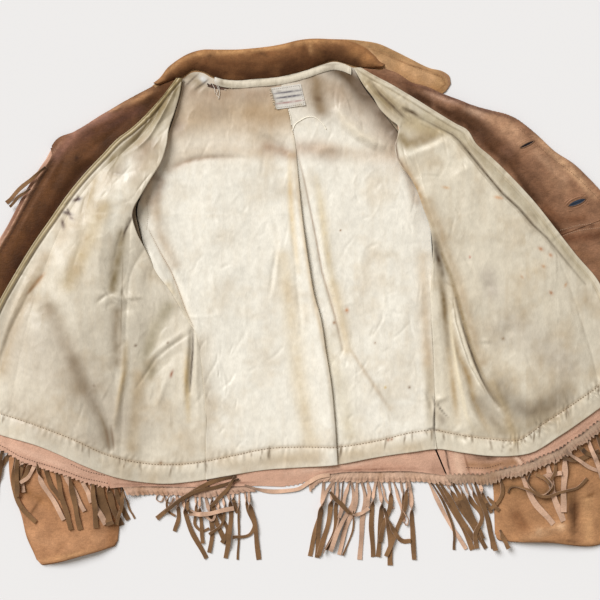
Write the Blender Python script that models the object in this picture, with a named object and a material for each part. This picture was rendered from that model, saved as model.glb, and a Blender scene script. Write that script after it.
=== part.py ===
"""Fringed buckskin jacket, unbuttoned and laid open on its back with the lining up.

The surface it lies on is z = 0, +Y points to the collar and the origin is under the middle. Left and right
are as seen from above with the collar at the top, so the left front is the wearer's right one. Tables are in
millimetres, as (x, y) points of a seam, fold or edge from the collar to the hem, or from left to right.
"""

import math
from bisect import bisect_right

import bmesh
import bpy
from mathutils import Vector

for old in list(bpy.data.objects):
    bpy.data.objects.remove(old, do_unlink=True)

MM = 0.001
UP = Vector((0, 0, 1))
LEATHER = 1.2         # buckskin wall
DOUBLE_LEATHER = 2.0  # collar, two skins glued
SATIN = 1.0           # lining wall
SEAM = 0.3            # gap between pieces sewn edge to edge
LAYER = 0.4           # gap between pieces that lie on each other
FRINGE = 2.4          # depth of a bunch of strands

ROWS = 14             # stations from the neck to the lining hem
BAY_COLUMNS = 3       # columns between two lines of a panel
COURSE_STEPS = 40     # points on a line that distances are measured from

# ---------------------------------------------------------------- lines and grids


def hermite(before, start, end, after, t):
    """A point between start and end on the smooth line through all four points."""
    left, span, right = (start - before).length, (end - start).length, (after - end).length
    leave = ((start - before) / left * span + (end - start) / span * left) / (left + span) * span
    arrive = ((end - start) / span * right + (after - end) / right * span) / (span + right) * span
    return (
        start * (2 * t**3 - 3 * t**2 + 1)
        + leave * (t**3 - 2 * t**2 + t)
        + end * (3 * t**2 - 2 * t**3)
        + arrive * (t**3 - t**2)
    )


def smooth_line(table, steps=6):
    """A function from 0..1, by length, to a point on the smooth line through a table's points."""
    spots = [Vector(row) for row in table]
    ends = [2 * spots[0] - spots[1], *spots, 2 * spots[-1] - spots[-2]]
    dense = [
        hermite(*four, k / steps)
        for four in zip(ends, ends[1:], ends[2:], ends[3:])
        for k in range(steps)
    ] + [spots[-1]]
    travel = [0.0]
    for start, end in zip(dense, dense[1:]):
        travel.append(travel[-1] + (end - start).length)

    def at(t):
        goal = min(max(t, 0.0), 1.0) * travel[-1]
        k = min(bisect_right(travel, goal), len(dense) - 1) - 1
        return dense[k].lerp(dense[k + 1], (goal - travel[k]) / (travel[k + 1] - travel[k]))

    return at


def samples(line, count):
    return [line(k / count) for k in range(count + 1)]


def nearest(spots, spot):
    """Distance from a spot to a row of points, how far along the row, and +1 or -1 for its left or right."""
    best = (math.inf, 0.0, 1.0)
    for k, (start, end) in enumerate(zip(spots, spots[1:])):
        run = end - start
        share = min(max((spot - start).dot(run) / run.length_squared, 0.0), 1.0)
        away = (spot - start - run * share).length
        if away < best[0]:
            best = (away, (k + share) / (len(spots) - 1), math.copysign(1.0, run.cross(spot - start)))
    return best


def ramp(t):
    """0 below 0, 1 above 1 and smooth between."""
    t = min(max(t, 0.0), 1.0)
    return t * t * (3 - 2 * t)


def ruled(lines, rows, columns):
    """Rows of flat points on straight sections between neighbouring lines."""
    grid = []
    for r in range(rows + 1):
        marks = [line(r / rows) for line in lines]
        row = [marks[0]]
        for start, end in zip(marks, marks[1:]):
            row += [start.lerp(end, (c + 1) / columns) for c in range(columns)]
        grid.append(row)
    return grid


def raised(grid, height):
    """Flat points lifted to height(spot)."""
    return [[Vector((p.x, p.y, height(p))) for p in row] for row in grid]


# ---------------------------------------------------------------- solids


def material(name, colour, roughness):
    made = bpy.data.materials.new(name)
    made.use_nodes = True
    shader = made.node_tree.nodes["Principled BSDF"]
    shader.inputs["Base Color"].default_value = (*colour, 1.0)
    shader.inputs["Roughness"].default_value = roughness
    shader.inputs["Metallic"].default_value = 0.0
    made.diffuse_color = (*colour, 1.0)
    return made


def normals(grid):
    """Unit normals of a grid, upwards where it lies flat with columns to the left and rows to the hem."""
    rows, columns = len(grid), len(grid[0])
    made = []
    for r in range(rows):
        row = []
        for c in range(columns):
            along = grid[min(r + 1, rows - 1)][c] - grid[max(r - 1, 0)][c]
            across = grid[r][min(c + 1, columns - 1)] - grid[r][max(c - 1, 0)]
            row.append(across.cross(along).normalized())
        made.append(row)
    return made


def straight_up(grid):
    return [[UP for _ in row] for row in grid]


def moved_out(grid, out, distance):
    return [[p + n * distance for p, n in zip(row, ns)] for row, ns in zip(grid, out)]


def wall(name, grid, start, thickness, finish, out=None):
    """A closed wall of one thickness, whose lower face lies `start` above a grid of points."""
    out = out or normals(grid)
    lower = moved_out(grid, out, start)
    upper = moved_out(grid, out, start + thickness)
    rows, columns = len(grid), len(grid[0])
    shape = bmesh.new()
    low = [[shape.verts.new(p * MM) for p in row] for row in lower]
    high = [[shape.verts.new(p * MM) for p in row] for row in upper]

    def quad(a, b, c, d):
        shape.faces.new((a, b, c))
        shape.faces.new((a, c, d))

    for r in range(rows - 1):
        for c in range(columns - 1):
            quad(low[r][c], low[r][c + 1], low[r + 1][c + 1], low[r + 1][c])
            quad(high[r][c], high[r][c + 1], high[r + 1][c + 1], high[r + 1][c])
    rim = [(0, c) for c in range(columns)]
    rim += [(r, columns - 1) for r in range(1, rows)]
    rim += [(rows - 1, c) for c in range(columns - 2, -1, -1)]
    rim += [(r, 0) for r in range(rows - 2, 0, -1)]
    for (r0, c0), (r1, c1) in zip(rim, rim[1:] + rim[:1]):
        quad(low[r0][c0], low[r1][c1], high[r1][c1], high[r0][c0])
    bmesh.ops.recalc_face_normals(shape, faces=shape.faces)
    mesh = bpy.data.meshes.new(name)
    shape.to_mesh(mesh)
    shape.free()
    made = bpy.data.objects.new(name, mesh)
    made.data.materials.append(finish)
    bpy.context.scene.collection.objects.link(made)
    return made


smoked = material("smoked_buckskin", (0.42, 0.22, 0.09), 0.85)
flesh = material("flesh_side", (0.60, 0.35, 0.24), 0.9)
worn = material("worn_facing", (0.20, 0.08, 0.03), 0.75)
cream = material("cream_satin", (0.72, 0.65, 0.50), 0.45)
tape_cloth = material("cotton_tape", (0.75, 0.72, 0.64), 0.8)
woven = material("woven_label", (0.62, 0.56, 0.45), 0.7)
horn = material("brown_button", (0.10, 0.05, 0.02), 0.35)

# ---------------------------------------------------------------- sleeves

# Each sleeve leaves its armhole under the front that covers it, and its cuff shows below the hem. Outer and
# inner are the two folds of the flattened tube, from the armhole to the cuff.
SLEEVES = {
    "left": {
        "armhole": [(-176.2, 264), (-204.2, 190), (-223.2, 150), (-230.5, 127), (-226.3, 100), (-219, 71)],
        "into_body": [(-120, 290), (-145, 69)],
        "outer": [(-176.2, 264), (-228, 222), (-280, 180), (-322, 125), (-352, 60), (-378, -20), (-398, -110),
                  (-409, -200), (-405, -266), (-391, -305), (-384, -332), (-370, -366)],
        "inner": [(-218.8, 71), (-237, 40), (-243, -10), (-246, -80), (-250, -160), (-254, -240),
                  (-256, -310), (-259, -343)],
        "cuff": [(-370, -366), (-364, -371), (-310, -359), (-265, -347), (-259, -343)],
    },
    "right": {
        "armhole": [(104.2, 281), (151.2, 215), (179.3, 140), (188.2, 52)],
        "into_body": [(51, 309), (120, 50)],
        "outer": [(104.2, 281), (170, 246), (230, 215), (285, 172), (330, 118), (362, 60), (392, -20),
                  (415, -100), (428, -190), (432, -280), (430, -332)],
        "inner": [(188, 52), (212, -20), (232, -90), (250, -160), (264, -215), (273, -260), (275, -300),
                  (277, -332)],
        "cuff": [(430, -332), (424, -338), (350, -339), (284, -337), (277, -332)],
    },
}
CROWN_END, CROWN_MIDDLE = 8.0, 12.0     # how high a flattened sleeve stays puffed, at its ends and its elbow
SLEEVE_ROWS, SLEEVE_COLUMNS = 11, 8
SLEEVE_FOLD = LEATHER + SEAM            # the upper sleeve meets the under one at the folds
SLEEVE_ROOM = 3.3                       # air between a sleeve and the front over it
OVER_SLEEVE = SLEEVE_FOLD + LEATHER + SLEEVE_ROOM
BESIDE_SLEEVE = 35.0                    # how far out what lies over a sleeve comes down to the surface
SLEEVE_HAND = {"left": 1.0, "right": -1.0}

for parts in SLEEVES.values():
    parts["line"] = {edge: smooth_line(parts[edge]) for edge in ("armhole", "outer", "inner", "cuff")}
    parts["spots"] = {
        edge: [Vector(into), *samples(parts["line"][edge], COURSE_STEPS)]
        for edge, into in zip(("outer", "inner"), parts["into_body"])
    }


def sleeve_depths(side, spot):
    """How far inside the outer and the inner fold a spot is, and how far down the sleeve."""
    spots = SLEEVES[side]["spots"]
    outer, along, outer_hand = nearest(spots["outer"], spot)
    inner, _, inner_hand = nearest(spots["inner"], spot)
    hand = SLEEVE_HAND[side]
    return outer * outer_hand * hand, -inner * inner_hand * hand, along


def sleeve_crown(from_outer, from_inner, along):
    """How high the upper sleeve stands over its folds."""
    crown = CROWN_END + (CROWN_MIDDLE - CROWN_END) * math.sin(math.pi * along)
    inside_outer, inside_inner = max(from_outer, 0.0), max(from_inner, 0.0)
    if inside_outer == 0 or inside_inner == 0:
        return 0.0
    return crown * math.sin(math.pi * inside_outer / (inside_outer + inside_inner)) ** 0.75


def over_sleeve(side, spot):
    """Height of whatever lies on a sleeve: over the tube, then down to the surface beside it."""
    from_outer, from_inner, along = sleeve_depths(side, spot)
    outside = max(-from_outer, -from_inner, 0.0)
    if outside > 0:
        return OVER_SLEEVE * (1 - ramp(outside / BESIDE_SLEEVE))
    return OVER_SLEEVE + sleeve_crown(from_outer, from_inner, along)


def sleeve_grid(side):
    """Flat points of a sleeve, shaped by its armhole, its folds and its cuff."""
    line = SLEEVES[side]["line"]
    grid = []
    for r in range(SLEEVE_ROWS + 1):
        v = r / SLEEVE_ROWS
        row = []
        for c in range(SLEEVE_COLUMNS + 1):
            u = c / SLEEVE_COLUMNS
            across = line["armhole"](u) * (1 - v) + line["cuff"](u) * v
            along = line["outer"](v) * (1 - u) + line["inner"](v) * u
            top = line["outer"](0).lerp(line["inner"](0), u)
            bottom = line["outer"](1).lerp(line["inner"](1), u)
            row.append(across + along - top.lerp(bottom, v))
        grid.append(row)
    return grid


for side in SLEEVES:
    flat = sleeve_grid(side)
    wall(f"sleeve_{side}_under", raised(flat, lambda spot: 0.0), 0, LEATHER, smoked, straight_up(flat))

    def upper_height(spot, side=side):
        return SLEEVE_FOLD + sleeve_crown(*sleeve_depths(side, spot))

    wall(f"sleeve_{side}_upper", raised(flat, upper_height), 0, LEATHER, smoked, straight_up(flat))

# ---------------------------------------------------------------- collar

# The stand goes up from the neck seam and rolls over at its fold. The fall lies flat under it, and its right
# end spreads out past the stand to the collar's point.
NECK_SEAM = [(-197, 302), (-182, 307), (-165, 315), (-151, 324), (-136, 322), (-125, 316), (-109, 311),
             (-91, 309), (-64, 311), (-28, 314), (-15, 318), (11, 325), (31, 333), (49, 338), (60, 335),
             (76, 330), (91, 327), (112, 326)]
COLLAR_FOLD = [(-205, 305), (-197, 311), (-185, 326), (-171, 337), (-155, 346), (-136, 351), (-118, 351),
               (-91, 351), (-64, 353), (-28, 358), (-3, 364), (11, 366), (38, 366), (70, 363), (92, 353),
               (105, 342), (113, 334), (119, 331)]
FALL_TOP = [(-208, 301), (-197, 311), (-185, 326), (-171, 337), (-155, 346), (-136, 351), (-91, 351),
            (-28, 358), (11, 367), (38, 367), (84, 365), (112, 360), (132, 351), (154, 340), (183, 326),
            (202, 321), (210, 315), (212, 305)]
FALL_BOTTOM = [(-200, 294), (-178, 296), (-155, 302), (-125, 302), (-91, 298), (-28, 303), (11, 312),
               (49, 324), (84, 318), (112, 313), (140, 300), (165, 290), (190, 285), (205, 294)]
COLLAR_LIFT = 3.2      # the neck seam lies over the fall
COLLAR_NEAR = 14.0     # it stays lifted this far from the seam
COLLAR_SLOPE = 50.0    # and comes down to the surface over this much more
STAND_ROLL = 5.0       # how far the stand bulges between its seam and its fold
COLLAR_COLUMNS = 16
UNDER_LAPEL = [(120, 323), (157, 302), (200, 287)]   # where the fall goes on under the right lapel

collar_course = samples(smooth_line([*NECK_SEAM[1:-1], *UNDER_LAPEL]), COURSE_STEPS)


def over_collar(spot):
    """Height of what lies on the fall, near the neck seam and the right point."""
    return COLLAR_LIFT * (1 - ramp((nearest(collar_course, spot)[0] - COLLAR_NEAR) / COLLAR_SLOPE))


def across_band(name, lower, upper, columns, rows, height, start, thickness, finish):
    """A band between a lower and an upper edge that both run from left to right."""
    top, bottom = smooth_line(upper), smooth_line(lower)
    grid = []
    for r in range(rows + 1):
        row = [top(1 - c / columns).lerp(bottom(1 - c / columns), r / rows) for c in range(columns + 1)]
        grid.append([Vector((p.x, p.y, height(p, r / rows))) for p in row])
    return wall(name, grid, start, thickness, finish, straight_up(grid))


across_band("collar_fall", FALL_BOTTOM, FALL_TOP, COLLAR_COLUMNS, 2, lambda spot, down: 0.0, 0,
            DOUBLE_LEATHER, smoked)


def stand_height(spot, down):
    return DOUBLE_LEATHER + LAYER + STAND_ROLL * math.sin(math.pi * down) ** 0.8


stand_seam = [(x, y + SEAM) for x, y in NECK_SEAM]
across_band("collar_stand", stand_seam, COLLAR_FOLD, COLLAR_COLUMNS, 4, stand_height, 0, DOUBLE_LEATHER,
            smoked)

# ---------------------------------------------------------------- back

# Shoulder seam and armhole of the back, and the side seam that it shares with the front.
BACK_ARMHOLE = {
    "left": [(-164, 312), (-167, 293), (-175, 264), (-203, 190), (-222, 150), (-229, 127), (-225, 100),
             (-217.7, 71)],
    "right": [(75, 327), (90, 298), (103, 281), (150, 215), (178, 140), (187, 52)],
}
SIDE_SEAM = {
    "left": [(-217.7, 71), (-200, 36), (-183, 14), (-166, -14), (-152, -37), (-148, -43), (-141, -70),
             (-136, -109), (-130, -147), (-128, -182), (-130, -214), (-130, -251)],
    "right": [(187, 52), (184, 0), (187, -80), (189, -132), (189, -185), (192, -209)],
}
UNDERARM_ROW = {"left": 6, "right": 8}
OUTWARDS = {"left": -1, "right": 1}
BACK_NECK = [(75, 326.5), (60, 332), (49, 335), (31, 330), (11, 322), (-15, 315), (-28, 311), (-64, 308),
             (-91, 306), (-109, 308), (-125, 313), (-136, 319), (-151, 320), (-164, 312)]
LEATHER_HEM_BACK = [(208, -248), (161, -242), (106, -242), (60, -243), (27, -249), (0, -260), (-64, -262),
                    (-129, -264)]
NECK_SHARE = 0.44      # share of the back neck right of the pleat
NECK_GAP = 0.002       # share of it left open between the two lining halves

# The back lining is two halves. Down the middle the left half folds over the right one in an ease pleat.
PLEAT_EDGE = [(-28, 313), (-17, 269), (-9, 231), (-3, 168), (3, 110), (11, 53), (20, 3), (27, -21), (35, -70),
              (43, -120), (48, -171), (52, -231)]
PLEAT_UNDER = 14.0     # how far the right half goes under the pleat at the hem
PLEAT_STARTS = 0.19    # share of its length where it starts to go under
PLEAT_OPEN = 0.81      # and where it is all the way in
LINING_LEFT = [(-100, 310), (-112, 200), (-112, 60), (-95, -60), (-84, -160), (-80, -243)]
LINING_RIGHT = [(30, 332), (65, 220), (95, 100), (105, -30), (112, -130), (120, -219)]
BACK_COLUMNS = 3


def side_line(side, armhole, gap=0.0):
    """A panel's side: its own armhole down to the underarm, then the side seam, a gap outside the back's."""
    upper, seam = smooth_line(armhole), smooth_line(SIDE_SEAM[side])
    underarm = UNDERARM_ROW[side] / ROWS
    shift = Vector((OUTWARDS[side] * gap, 0))

    def at(t):
        if t < underarm:
            return upper(t / underarm)
        return seam((t - underarm) / (1 - underarm)) + shift

    return at


pleat = smooth_line(PLEAT_EDGE)
neck, back_hem = smooth_line(BACK_NECK), smooth_line(LEATHER_HEM_BACK)
side_lines = {side: side_line(side, armhole) for side, armhole in BACK_ARMHOLE.items()}
right_of_pleat = [side_lines["right"], smooth_line(LINING_RIGHT), pleat]
left_of_pleat = [pleat, smooth_line(LINING_LEFT), side_lines["left"]]
HALF_COLUMNS = 2 * BACK_COLUMNS


def pleat_under(t):
    """The edge of the right half: beside the pleat at the neck, under it further down."""
    under = ramp((t - PLEAT_STARTS) / (PLEAT_OPEN - PLEAT_STARTS))
    return pleat(t) + Vector((SEAM - (PLEAT_UNDER + SEAM) * under, 0))


def half_back(lines, neck_from, neck_to):
    """Flat points of half the back, whose first row follows the neck."""
    flat = ruled(lines, ROWS, BACK_COLUMNS)
    flat[0] = [neck(neck_from + (neck_to - neck_from) * c / HALF_COLUMNS) for c in range(HALF_COLUMNS + 1)]
    return flat


right_half = half_back(right_of_pleat, 0, NECK_SHARE)
left_half = half_back(left_of_pleat, NECK_SHARE, 1)
back_flat = [right + left[1:] for right, left in zip(right_half, left_half)]
back_flat.append([back_hem(c / (2 * HALF_COLUMNS)) for c in range(2 * HALF_COLUMNS + 1)])
back_grid = raised(back_flat, over_collar)
wall("back_leather", back_grid, 0, LEATHER, flesh, straight_up(back_grid))

ON_LEATHER = LEATHER + LAYER


def lining_half(name, flat, lifts):
    """Half of the back lining, whose lines open to their own lift over the leather below the neck."""
    grid = []
    for r, row in enumerate(flat):
        raised_row = []
        for c, spot in enumerate(row):
            bay = min(c // BACK_COLUMNS, 1)
            share = c / BACK_COLUMNS - bay
            lift = (lifts[bay] * (1 - share) + lifts[bay + 1] * share) * ramp(r / ROWS * 2.5)
            raised_row.append(Vector((spot.x, spot.y, over_collar(spot) + lift)))
        grid.append(raised_row)
    return wall(name, grid, ON_LEATHER, SATIN, cream, straight_up(grid))


lining_half("lining_back_left", left_half, [3.4, 0.8, 0.0])
right_lines = [side_lines["right"], smooth_line(LINING_RIGHT), pleat_under]
lining_half("lining_back_right", half_back(right_lines, 0, NECK_SHARE - NECK_GAP), [0.0, 0.6, 0.0])

ON_LINING = ON_LEATHER + SATIN + LAYER
TAPE_TOP = [(-134, 320), (-125, 314), (-109, 309), (-91, 307), (-64, 309), (-30, 312), (-15, 315),
            (11, 322), (31, 329), (49, 333), (60, 331), (72, 326)]
TAPE_WIDTH = 9.0
TAPE_WALL = 0.9
across_band("neck_tape", [(x, y - TAPE_WIDTH) for x, y in TAPE_TOP], TAPE_TOP, 12, 1,
            lambda spot, down: COLLAR_LIFT, ON_LINING, TAPE_WALL, tape_cloth)

# The label's corners, turned eight degrees, just under the tape.
LABEL_TOP = [(-41, 298), (1, 304)]
LABEL_BOTTOM = [(-33, 268), (8, 274)]
LABEL_LIFT = 0.6
across_band("label", LABEL_BOTTOM, LABEL_TOP, 3, 2, lambda spot, down: over_collar(spot) + LABEL_LIFT,
            ON_LINING, TAPE_WALL, woven)

# ---------------------------------------------------------------- fronts

# armhole: shoulder seam and folded armhole edge, to the underarm.  folds: the lining's long soft folds, with
# their lifts.  facing: the seam of lining and facing.  edge: the roll line down to the break, then the edge.
FRONTS = {
    "left": {
        "armhole": [(-166, 311), (-169, 293), (-177, 264), (-184, 244), (-188, 217), (-194, 197), (-211, 168),
                    (-221, 151), (-235, 121), (-230, 97), (-218, 71)],
        "folds": [
            [(-168, 311), (-176, 290), (-188, 262), (-201, 225), (-219, 185), (-240, 145), (-251, 84),
             (-256, 24), (-252, -40), (-253, -90), (-258, -175), (-259, -248)],
            [(-169, 311), (-186, 290), (-206, 262), (-228, 232), (-250, 198), (-272, 160), (-296, 110),
             (-312, 50), (-322, -20), (-327, -90), (-328, -160), (-326, -220)],
        ],
        "facing": [(-170, 311), (-210, 263), (-237, 237), (-253, 225), (-273, 204), (-300, 176), (-326, 144),
                   (-344, 118), (-375, 73), (-400, 32), (-420, -4), (-440, -49), (-459, -105), (-473, -181)],
        "edge": [(-204, 298), (-239, 280), (-280, 256), (-307, 239), (-318, 233), (-337, 226), (-357, 195),
                 (-367, 181), (-384, 153), (-413, 98), (-432, 68), (-451, 35), (-479, -25), (-501, -87),
                 (-515, -140), (-521, -172)],
        "hem": [(-130, -264), (-185, -263), (-249, -263), (-276, -264), (-300, -258), (-332, -246),
                (-358, -238), (-393, -227), (-420, -213), (-476, -193)],
        "break": 0.26,
        "lifts": [0.0, 3.0, 1.5, 0.0],
    },
    "right": {
        "armhole": [(76, 326), (92, 299), (105, 282), (112, 270), (129, 252), (139, 243), (138, 230),
                    (134, 217), (137, 197), (144, 183), (151, 176), (164, 153), (172, 130), (181, 105),
                    (186, 80), (187.3, 52)],
        "folds": [
            [(78, 326), (98, 301), (114, 286), (132, 270), (148, 255), (154, 235), (153, 212), (162, 186),
             (172, 168), (182, 138), (190, 104), (203, 52), (220, 0), (232, -53), (255, -105), (278, -150),
             (300, -217)],
            [(80, 326), (104, 305), (134, 284), (168, 262), (196, 236), (218, 202), (242, 160), (267, 110),
             (292, 60), (320, 5), (345, -50), (362, -110), (371, -184)],
        ],
        "facing": [(82, 326), (97, 316), (123, 302), (150, 286), (176, 270), (200, 255), (217, 245),
                   (232, 237), (245, 217), (266, 199), (304, 161), (330, 132), (357, 98), (384, 64),
                   (419, 22), (437, -30), (446, -80), (451, -131)],
        "edge": [(116, 322), (132, 317), (157, 302), (176, 297), (196, 288), (217, 280), (244, 270),
                 (270, 263), (290, 258), (303, 252), (318, 241), (330, 231), (357, 206), (384, 188),
                 (405, 168), (424, 148), (448, 119), (479, 63), (501, 0), (515, -56), (521, -104)],
        "hem": [(209, -248), (238, -247), (262, -246), (288, -237), (312, -232), (329, -224), (356, -213),
                (378, -200), (420, -171), (458, -148)],
        "break": 0.36,
        "lifts": [0.0, 9.0, 2.0, 0.0],
    },
}
EDGE_LIFT = 5.4        # room under a front edge for what is turned under it
TURN_MARGIN = 12.0     # the leather stays up this far past the turned edge
BUTTON_ROOM = 34.0     # and at least this far in from the front edge
EDGE_SLOPE = 34.0      # then comes down over this much
ROLL = 1.0             # inner radius of the turned edge
TURNED_EDGE = 6.0      # how far the facing goes under below the break
TURNED_LAPEL = 34.0    # how much more the lapel goes under at the middle of its roll
FACING_COLUMNS = 3
BEND_ANGLES = [50, 10, -30, -70, -90]
HEM_SHARE = 0.965      # where the lining hem meets the front edge, as a share of its length
PIECING_ROW = 9        # the right facing is pieced across here
PIECING_GAP = 0.01     # share of a row left open at the piecing seam
FOLD_RISE = 1 / 3      # share of the length over which the lining's folds rise from the neck
FOLD_FALL = 0.75       # share from which they sink again towards the hem
FOLD_KEPT = 0.15       # share of their height that is left there

for front in FRONTS.values():
    front["edge_line"] = smooth_line(front["edge"])
    front["edge_spots"] = samples(front["edge_line"], COURSE_STEPS)


def turned(side, t):
    """How far the facing goes under the edge at t."""
    share = min(t / FRONTS[side]["break"], 1.0)
    return TURNED_EDGE + TURNED_LAPEL * math.sin(math.pi * share)


def front_height(side, spot):
    """Height of a front's leather over the surface, the sleeve, its own turned edge and the collar's fall."""
    away, along, _ = nearest(FRONTS[side]["edge_spots"], spot)
    level = max(turned(side, along) + TURN_MARGIN, BUTTON_ROOM)
    rim = EDGE_LIFT * (1 - ramp((away - level) / EDGE_SLOPE))
    sleeve = over_sleeve(side, spot)
    return (rim**3 + sleeve**3) ** (1 / 3) + over_collar(spot)


def front_grid(side):
    """A front from its side to its edge and round under it, from the neck to the leather hem."""
    front = FRONTS[side]
    lines = [side_line(side, front["armhole"], SEAM)]
    lines += [smooth_line(line) for line in (*front["folds"], front["facing"])]
    flat = ruled(lines, ROWS, BAY_COLUMNS)
    hem = smooth_line(front["hem"])
    bays = BAY_COLUMNS * (len(lines) - 1)
    flat.append([hem(c / bays) for c in range(bays + 1)])
    grid = []
    for r, row in enumerate(flat):
        t = r / ROWS * HEM_SHARE if r <= ROWS else 1.0
        edge = front["edge_line"](t)
        step = front["edge_line"](min(t + 0.01, 1.0)) - front["edge_line"](max(t - 0.01, 0.0))
        away = Vector((step.y, -step.x)).normalized() * -OUTWARDS[side]
        seam = row[-1]
        row = row + [seam.lerp(edge, (c + 1) / FACING_COLUMNS) for c in range(FACING_COLUMNS)]
        points = [Vector((p.x, p.y, front_height(side, p))) for p in row]
        crest = points[-1]
        for angle in BEND_ANGLES:
            turn = math.radians(angle)
            shift = away * (ROLL * math.cos(turn))
            points.append(crest + Vector((shift.x, shift.y, ROLL * math.sin(turn) - ROLL)))
        inner = edge - away * turned(side, t)
        points.append(Vector((inner.x, inner.y, front_height(side, inner) - 2 * ROLL)))
        grid.append(points)
    return grid, bays


def shifted(grid, column, toward, distance):
    """The grid with one column moved a little toward another, for a seam's gap."""
    made = [list(row) for row in grid]
    for row in made:
        row[column] = row[column] + (row[toward] - row[column]).normalized() * distance
    return made


def lining_lift(lifts, r, c):
    """Lift of a lining over the leather, whose fold lines rise below the neck and sink at the hem."""
    bay = min(c // BAY_COLUMNS, len(lifts) - 2)
    share = c / BAY_COLUMNS - bay
    down = r / ROWS
    kept = ramp(down / FOLD_RISE) * (1 - (1 - FOLD_KEPT) * ramp((down - FOLD_FALL) / (1 - FOLD_FALL)))
    return (lifts[bay] * (1 - share) + lifts[bay + 1] * share) * kept


hems = {}
for side, front in FRONTS.items():
    grid, seam_column = front_grid(side)
    hems[side] = [row[: seam_column + FACING_COLUMNS + 1] for row in grid[-2:]]
    out = [[UP, *(n * -OUTWARDS[side] for n in row[1:])] for row in normals(grid)]
    wall(f"front_leather_{side}", grid, 0, LEATHER, flesh, out)

    cut = [row[: seam_column + 1] for row in grid[: ROWS + 1]]
    cut = shifted(cut, seam_column, seam_column - 1, SEAM / 2)
    lining_out = [row[: seam_column + 1] for row in out[: ROWS + 1]]
    lining = [
        [p + n * lining_lift(front["lifts"], r, c) for c, (p, n) in enumerate(zip(row, ns))]
        for r, (row, ns) in enumerate(zip(cut, lining_out))
    ]
    wall(f"lining_front_{side}", lining, ON_LEATHER, SATIN, cream, lining_out)

    facing = shifted([row[seam_column:] for row in grid], 0, 1, SEAM / 2)
    facing_out = [row[seam_column:] for row in out]
    if side == "left":
        wall("facing_left", facing, ON_LEATHER, LEATHER, worn, facing_out)
    else:
        end = [p.lerp(q, PIECING_GAP) for p, q in zip(facing[PIECING_ROW], facing[PIECING_ROW - 1])]
        wall("facing_right_upper", facing[:PIECING_ROW] + [end], ON_LEATHER, LEATHER, worn,
             facing_out[: PIECING_ROW + 1])
        wall("facing_right_lower", facing[PIECING_ROW:], ON_LEATHER, LEATHER, worn, facing_out[PIECING_ROW:])

# ---------------------------------------------------------------- fringe

# Each strip hangs from some columns of a leather hem, and is made from the hem's points.
STRIPS = {
    "fringe_strip_left": ("left", 0, 3, 12.0),
    "fringe_strip_back_left": ("back", 10, 12, 12.0),
    "fringe_strip_back": ("back", 0, 7, 12.0),
    "fringe_strip_right": ("right", 0, 12, 14.0),
}
# The reach of each bunch: the strip or hem that it hangs from, its columns there, and its ends, from the side
# seam outwards on a front and from right to left on the back.
BUNCHES = {
    "fringe_back_right": ("fringe_strip_back", 2, 7, [(160, -364), (125, -366), (90, -366), (50, -364),
                                                      (8, -358)]),
    "fringe_back_left": ("fringe_strip_back_left", 0, 2, [(-58, -366), (-100, -366), (-132, -364)]),
    "fringe_side_left": ("fringe_strip_left", 0, 2, [(-134, -364), (-160, -355), (-200, -318)]),
    "fringe_side_right": ("fringe_strip_right", 0, 2, [(212, -352), (238, -355), (270, -346)]),
    "fringe_left_cuff": ("left", 3, 8, [(-240, -305), (-270, -324), (-300, -323), (-340, -320), (-388, -318),
                                        (-428, -290)]),
    "fringe_left_end": ("left", 8, 12, [(-430, -289), (-470, -280), (-508, -262)]),
    "fringe_right_cuff": ("fringe_strip_right", 3, 7, [(300, -314), (325, -316), (355, -312), (385, -300),
                                                       (412, -280)]),
    "fringe_right_end": ("fringe_strip_right", 8, 12, [(440, -262), (470, -252), (505, -226)]),
}
BUNCH_ROWS = 3


def moved_on(near, far, distance):
    """A point past `far` on the flat way from `near`, at far's height."""
    way = (far - near).to_2d().normalized()
    return Vector((far.x + way.x * distance, far.y + way.y * distance, far.z))


def hanging(name, rows, finish, thickness):
    return wall(name, rows, 0, thickness, finish, straight_up(rows))


hems["back"] = (back_grid[-2], back_grid[-1])
for name, (panel, first, last, width) in STRIPS.items():
    above, edge = (row[first : last + 1] for row in hems[panel])
    top = [moved_on(p, q, SEAM) for p, q in zip(above, edge)]
    bottom = [moved_on(p, q, SEAM + width) for p, q in zip(above, edge)]
    hanging(name, [top, bottom], flesh, LEATHER)
    hems[name] = (top, bottom)

for name, (panel, first, last, ends) in BUNCHES.items():
    above, edge = (row[first : last + 1] for row in hems[panel])
    reach = smooth_line(ends)
    side = "left" if name.startswith("fringe_left") else "right" if name.startswith("fringe_right") else None
    rows = [[moved_on(p, q, SEAM) for p, q in zip(above, edge)]]
    for r in range(1, BUNCH_ROWS + 1):
        row = []
        for c, start in enumerate(rows[0]):
            spot = start.to_2d().lerp(reach(c / (last - first)), r / BUNCH_ROWS)
            height = max(over_sleeve(side, spot), 0.0) if side else 0.0
            row.append(Vector((spot.x, spot.y, height)))
        rows.append(row)
    hanging(name, rows, smoked, FRINGE)

# A pair of strands from the sleeve's seam sticks out past the left front edge.
across_band("fringe_sleeve_left", [(-410, 133), (-388.6, 153)], [(-415, 140), (-374, 178)], 1, 1,
            lambda spot, down: 0.0, 0, FRINGE, smoked)

# ---------------------------------------------------------------- buttons

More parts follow.
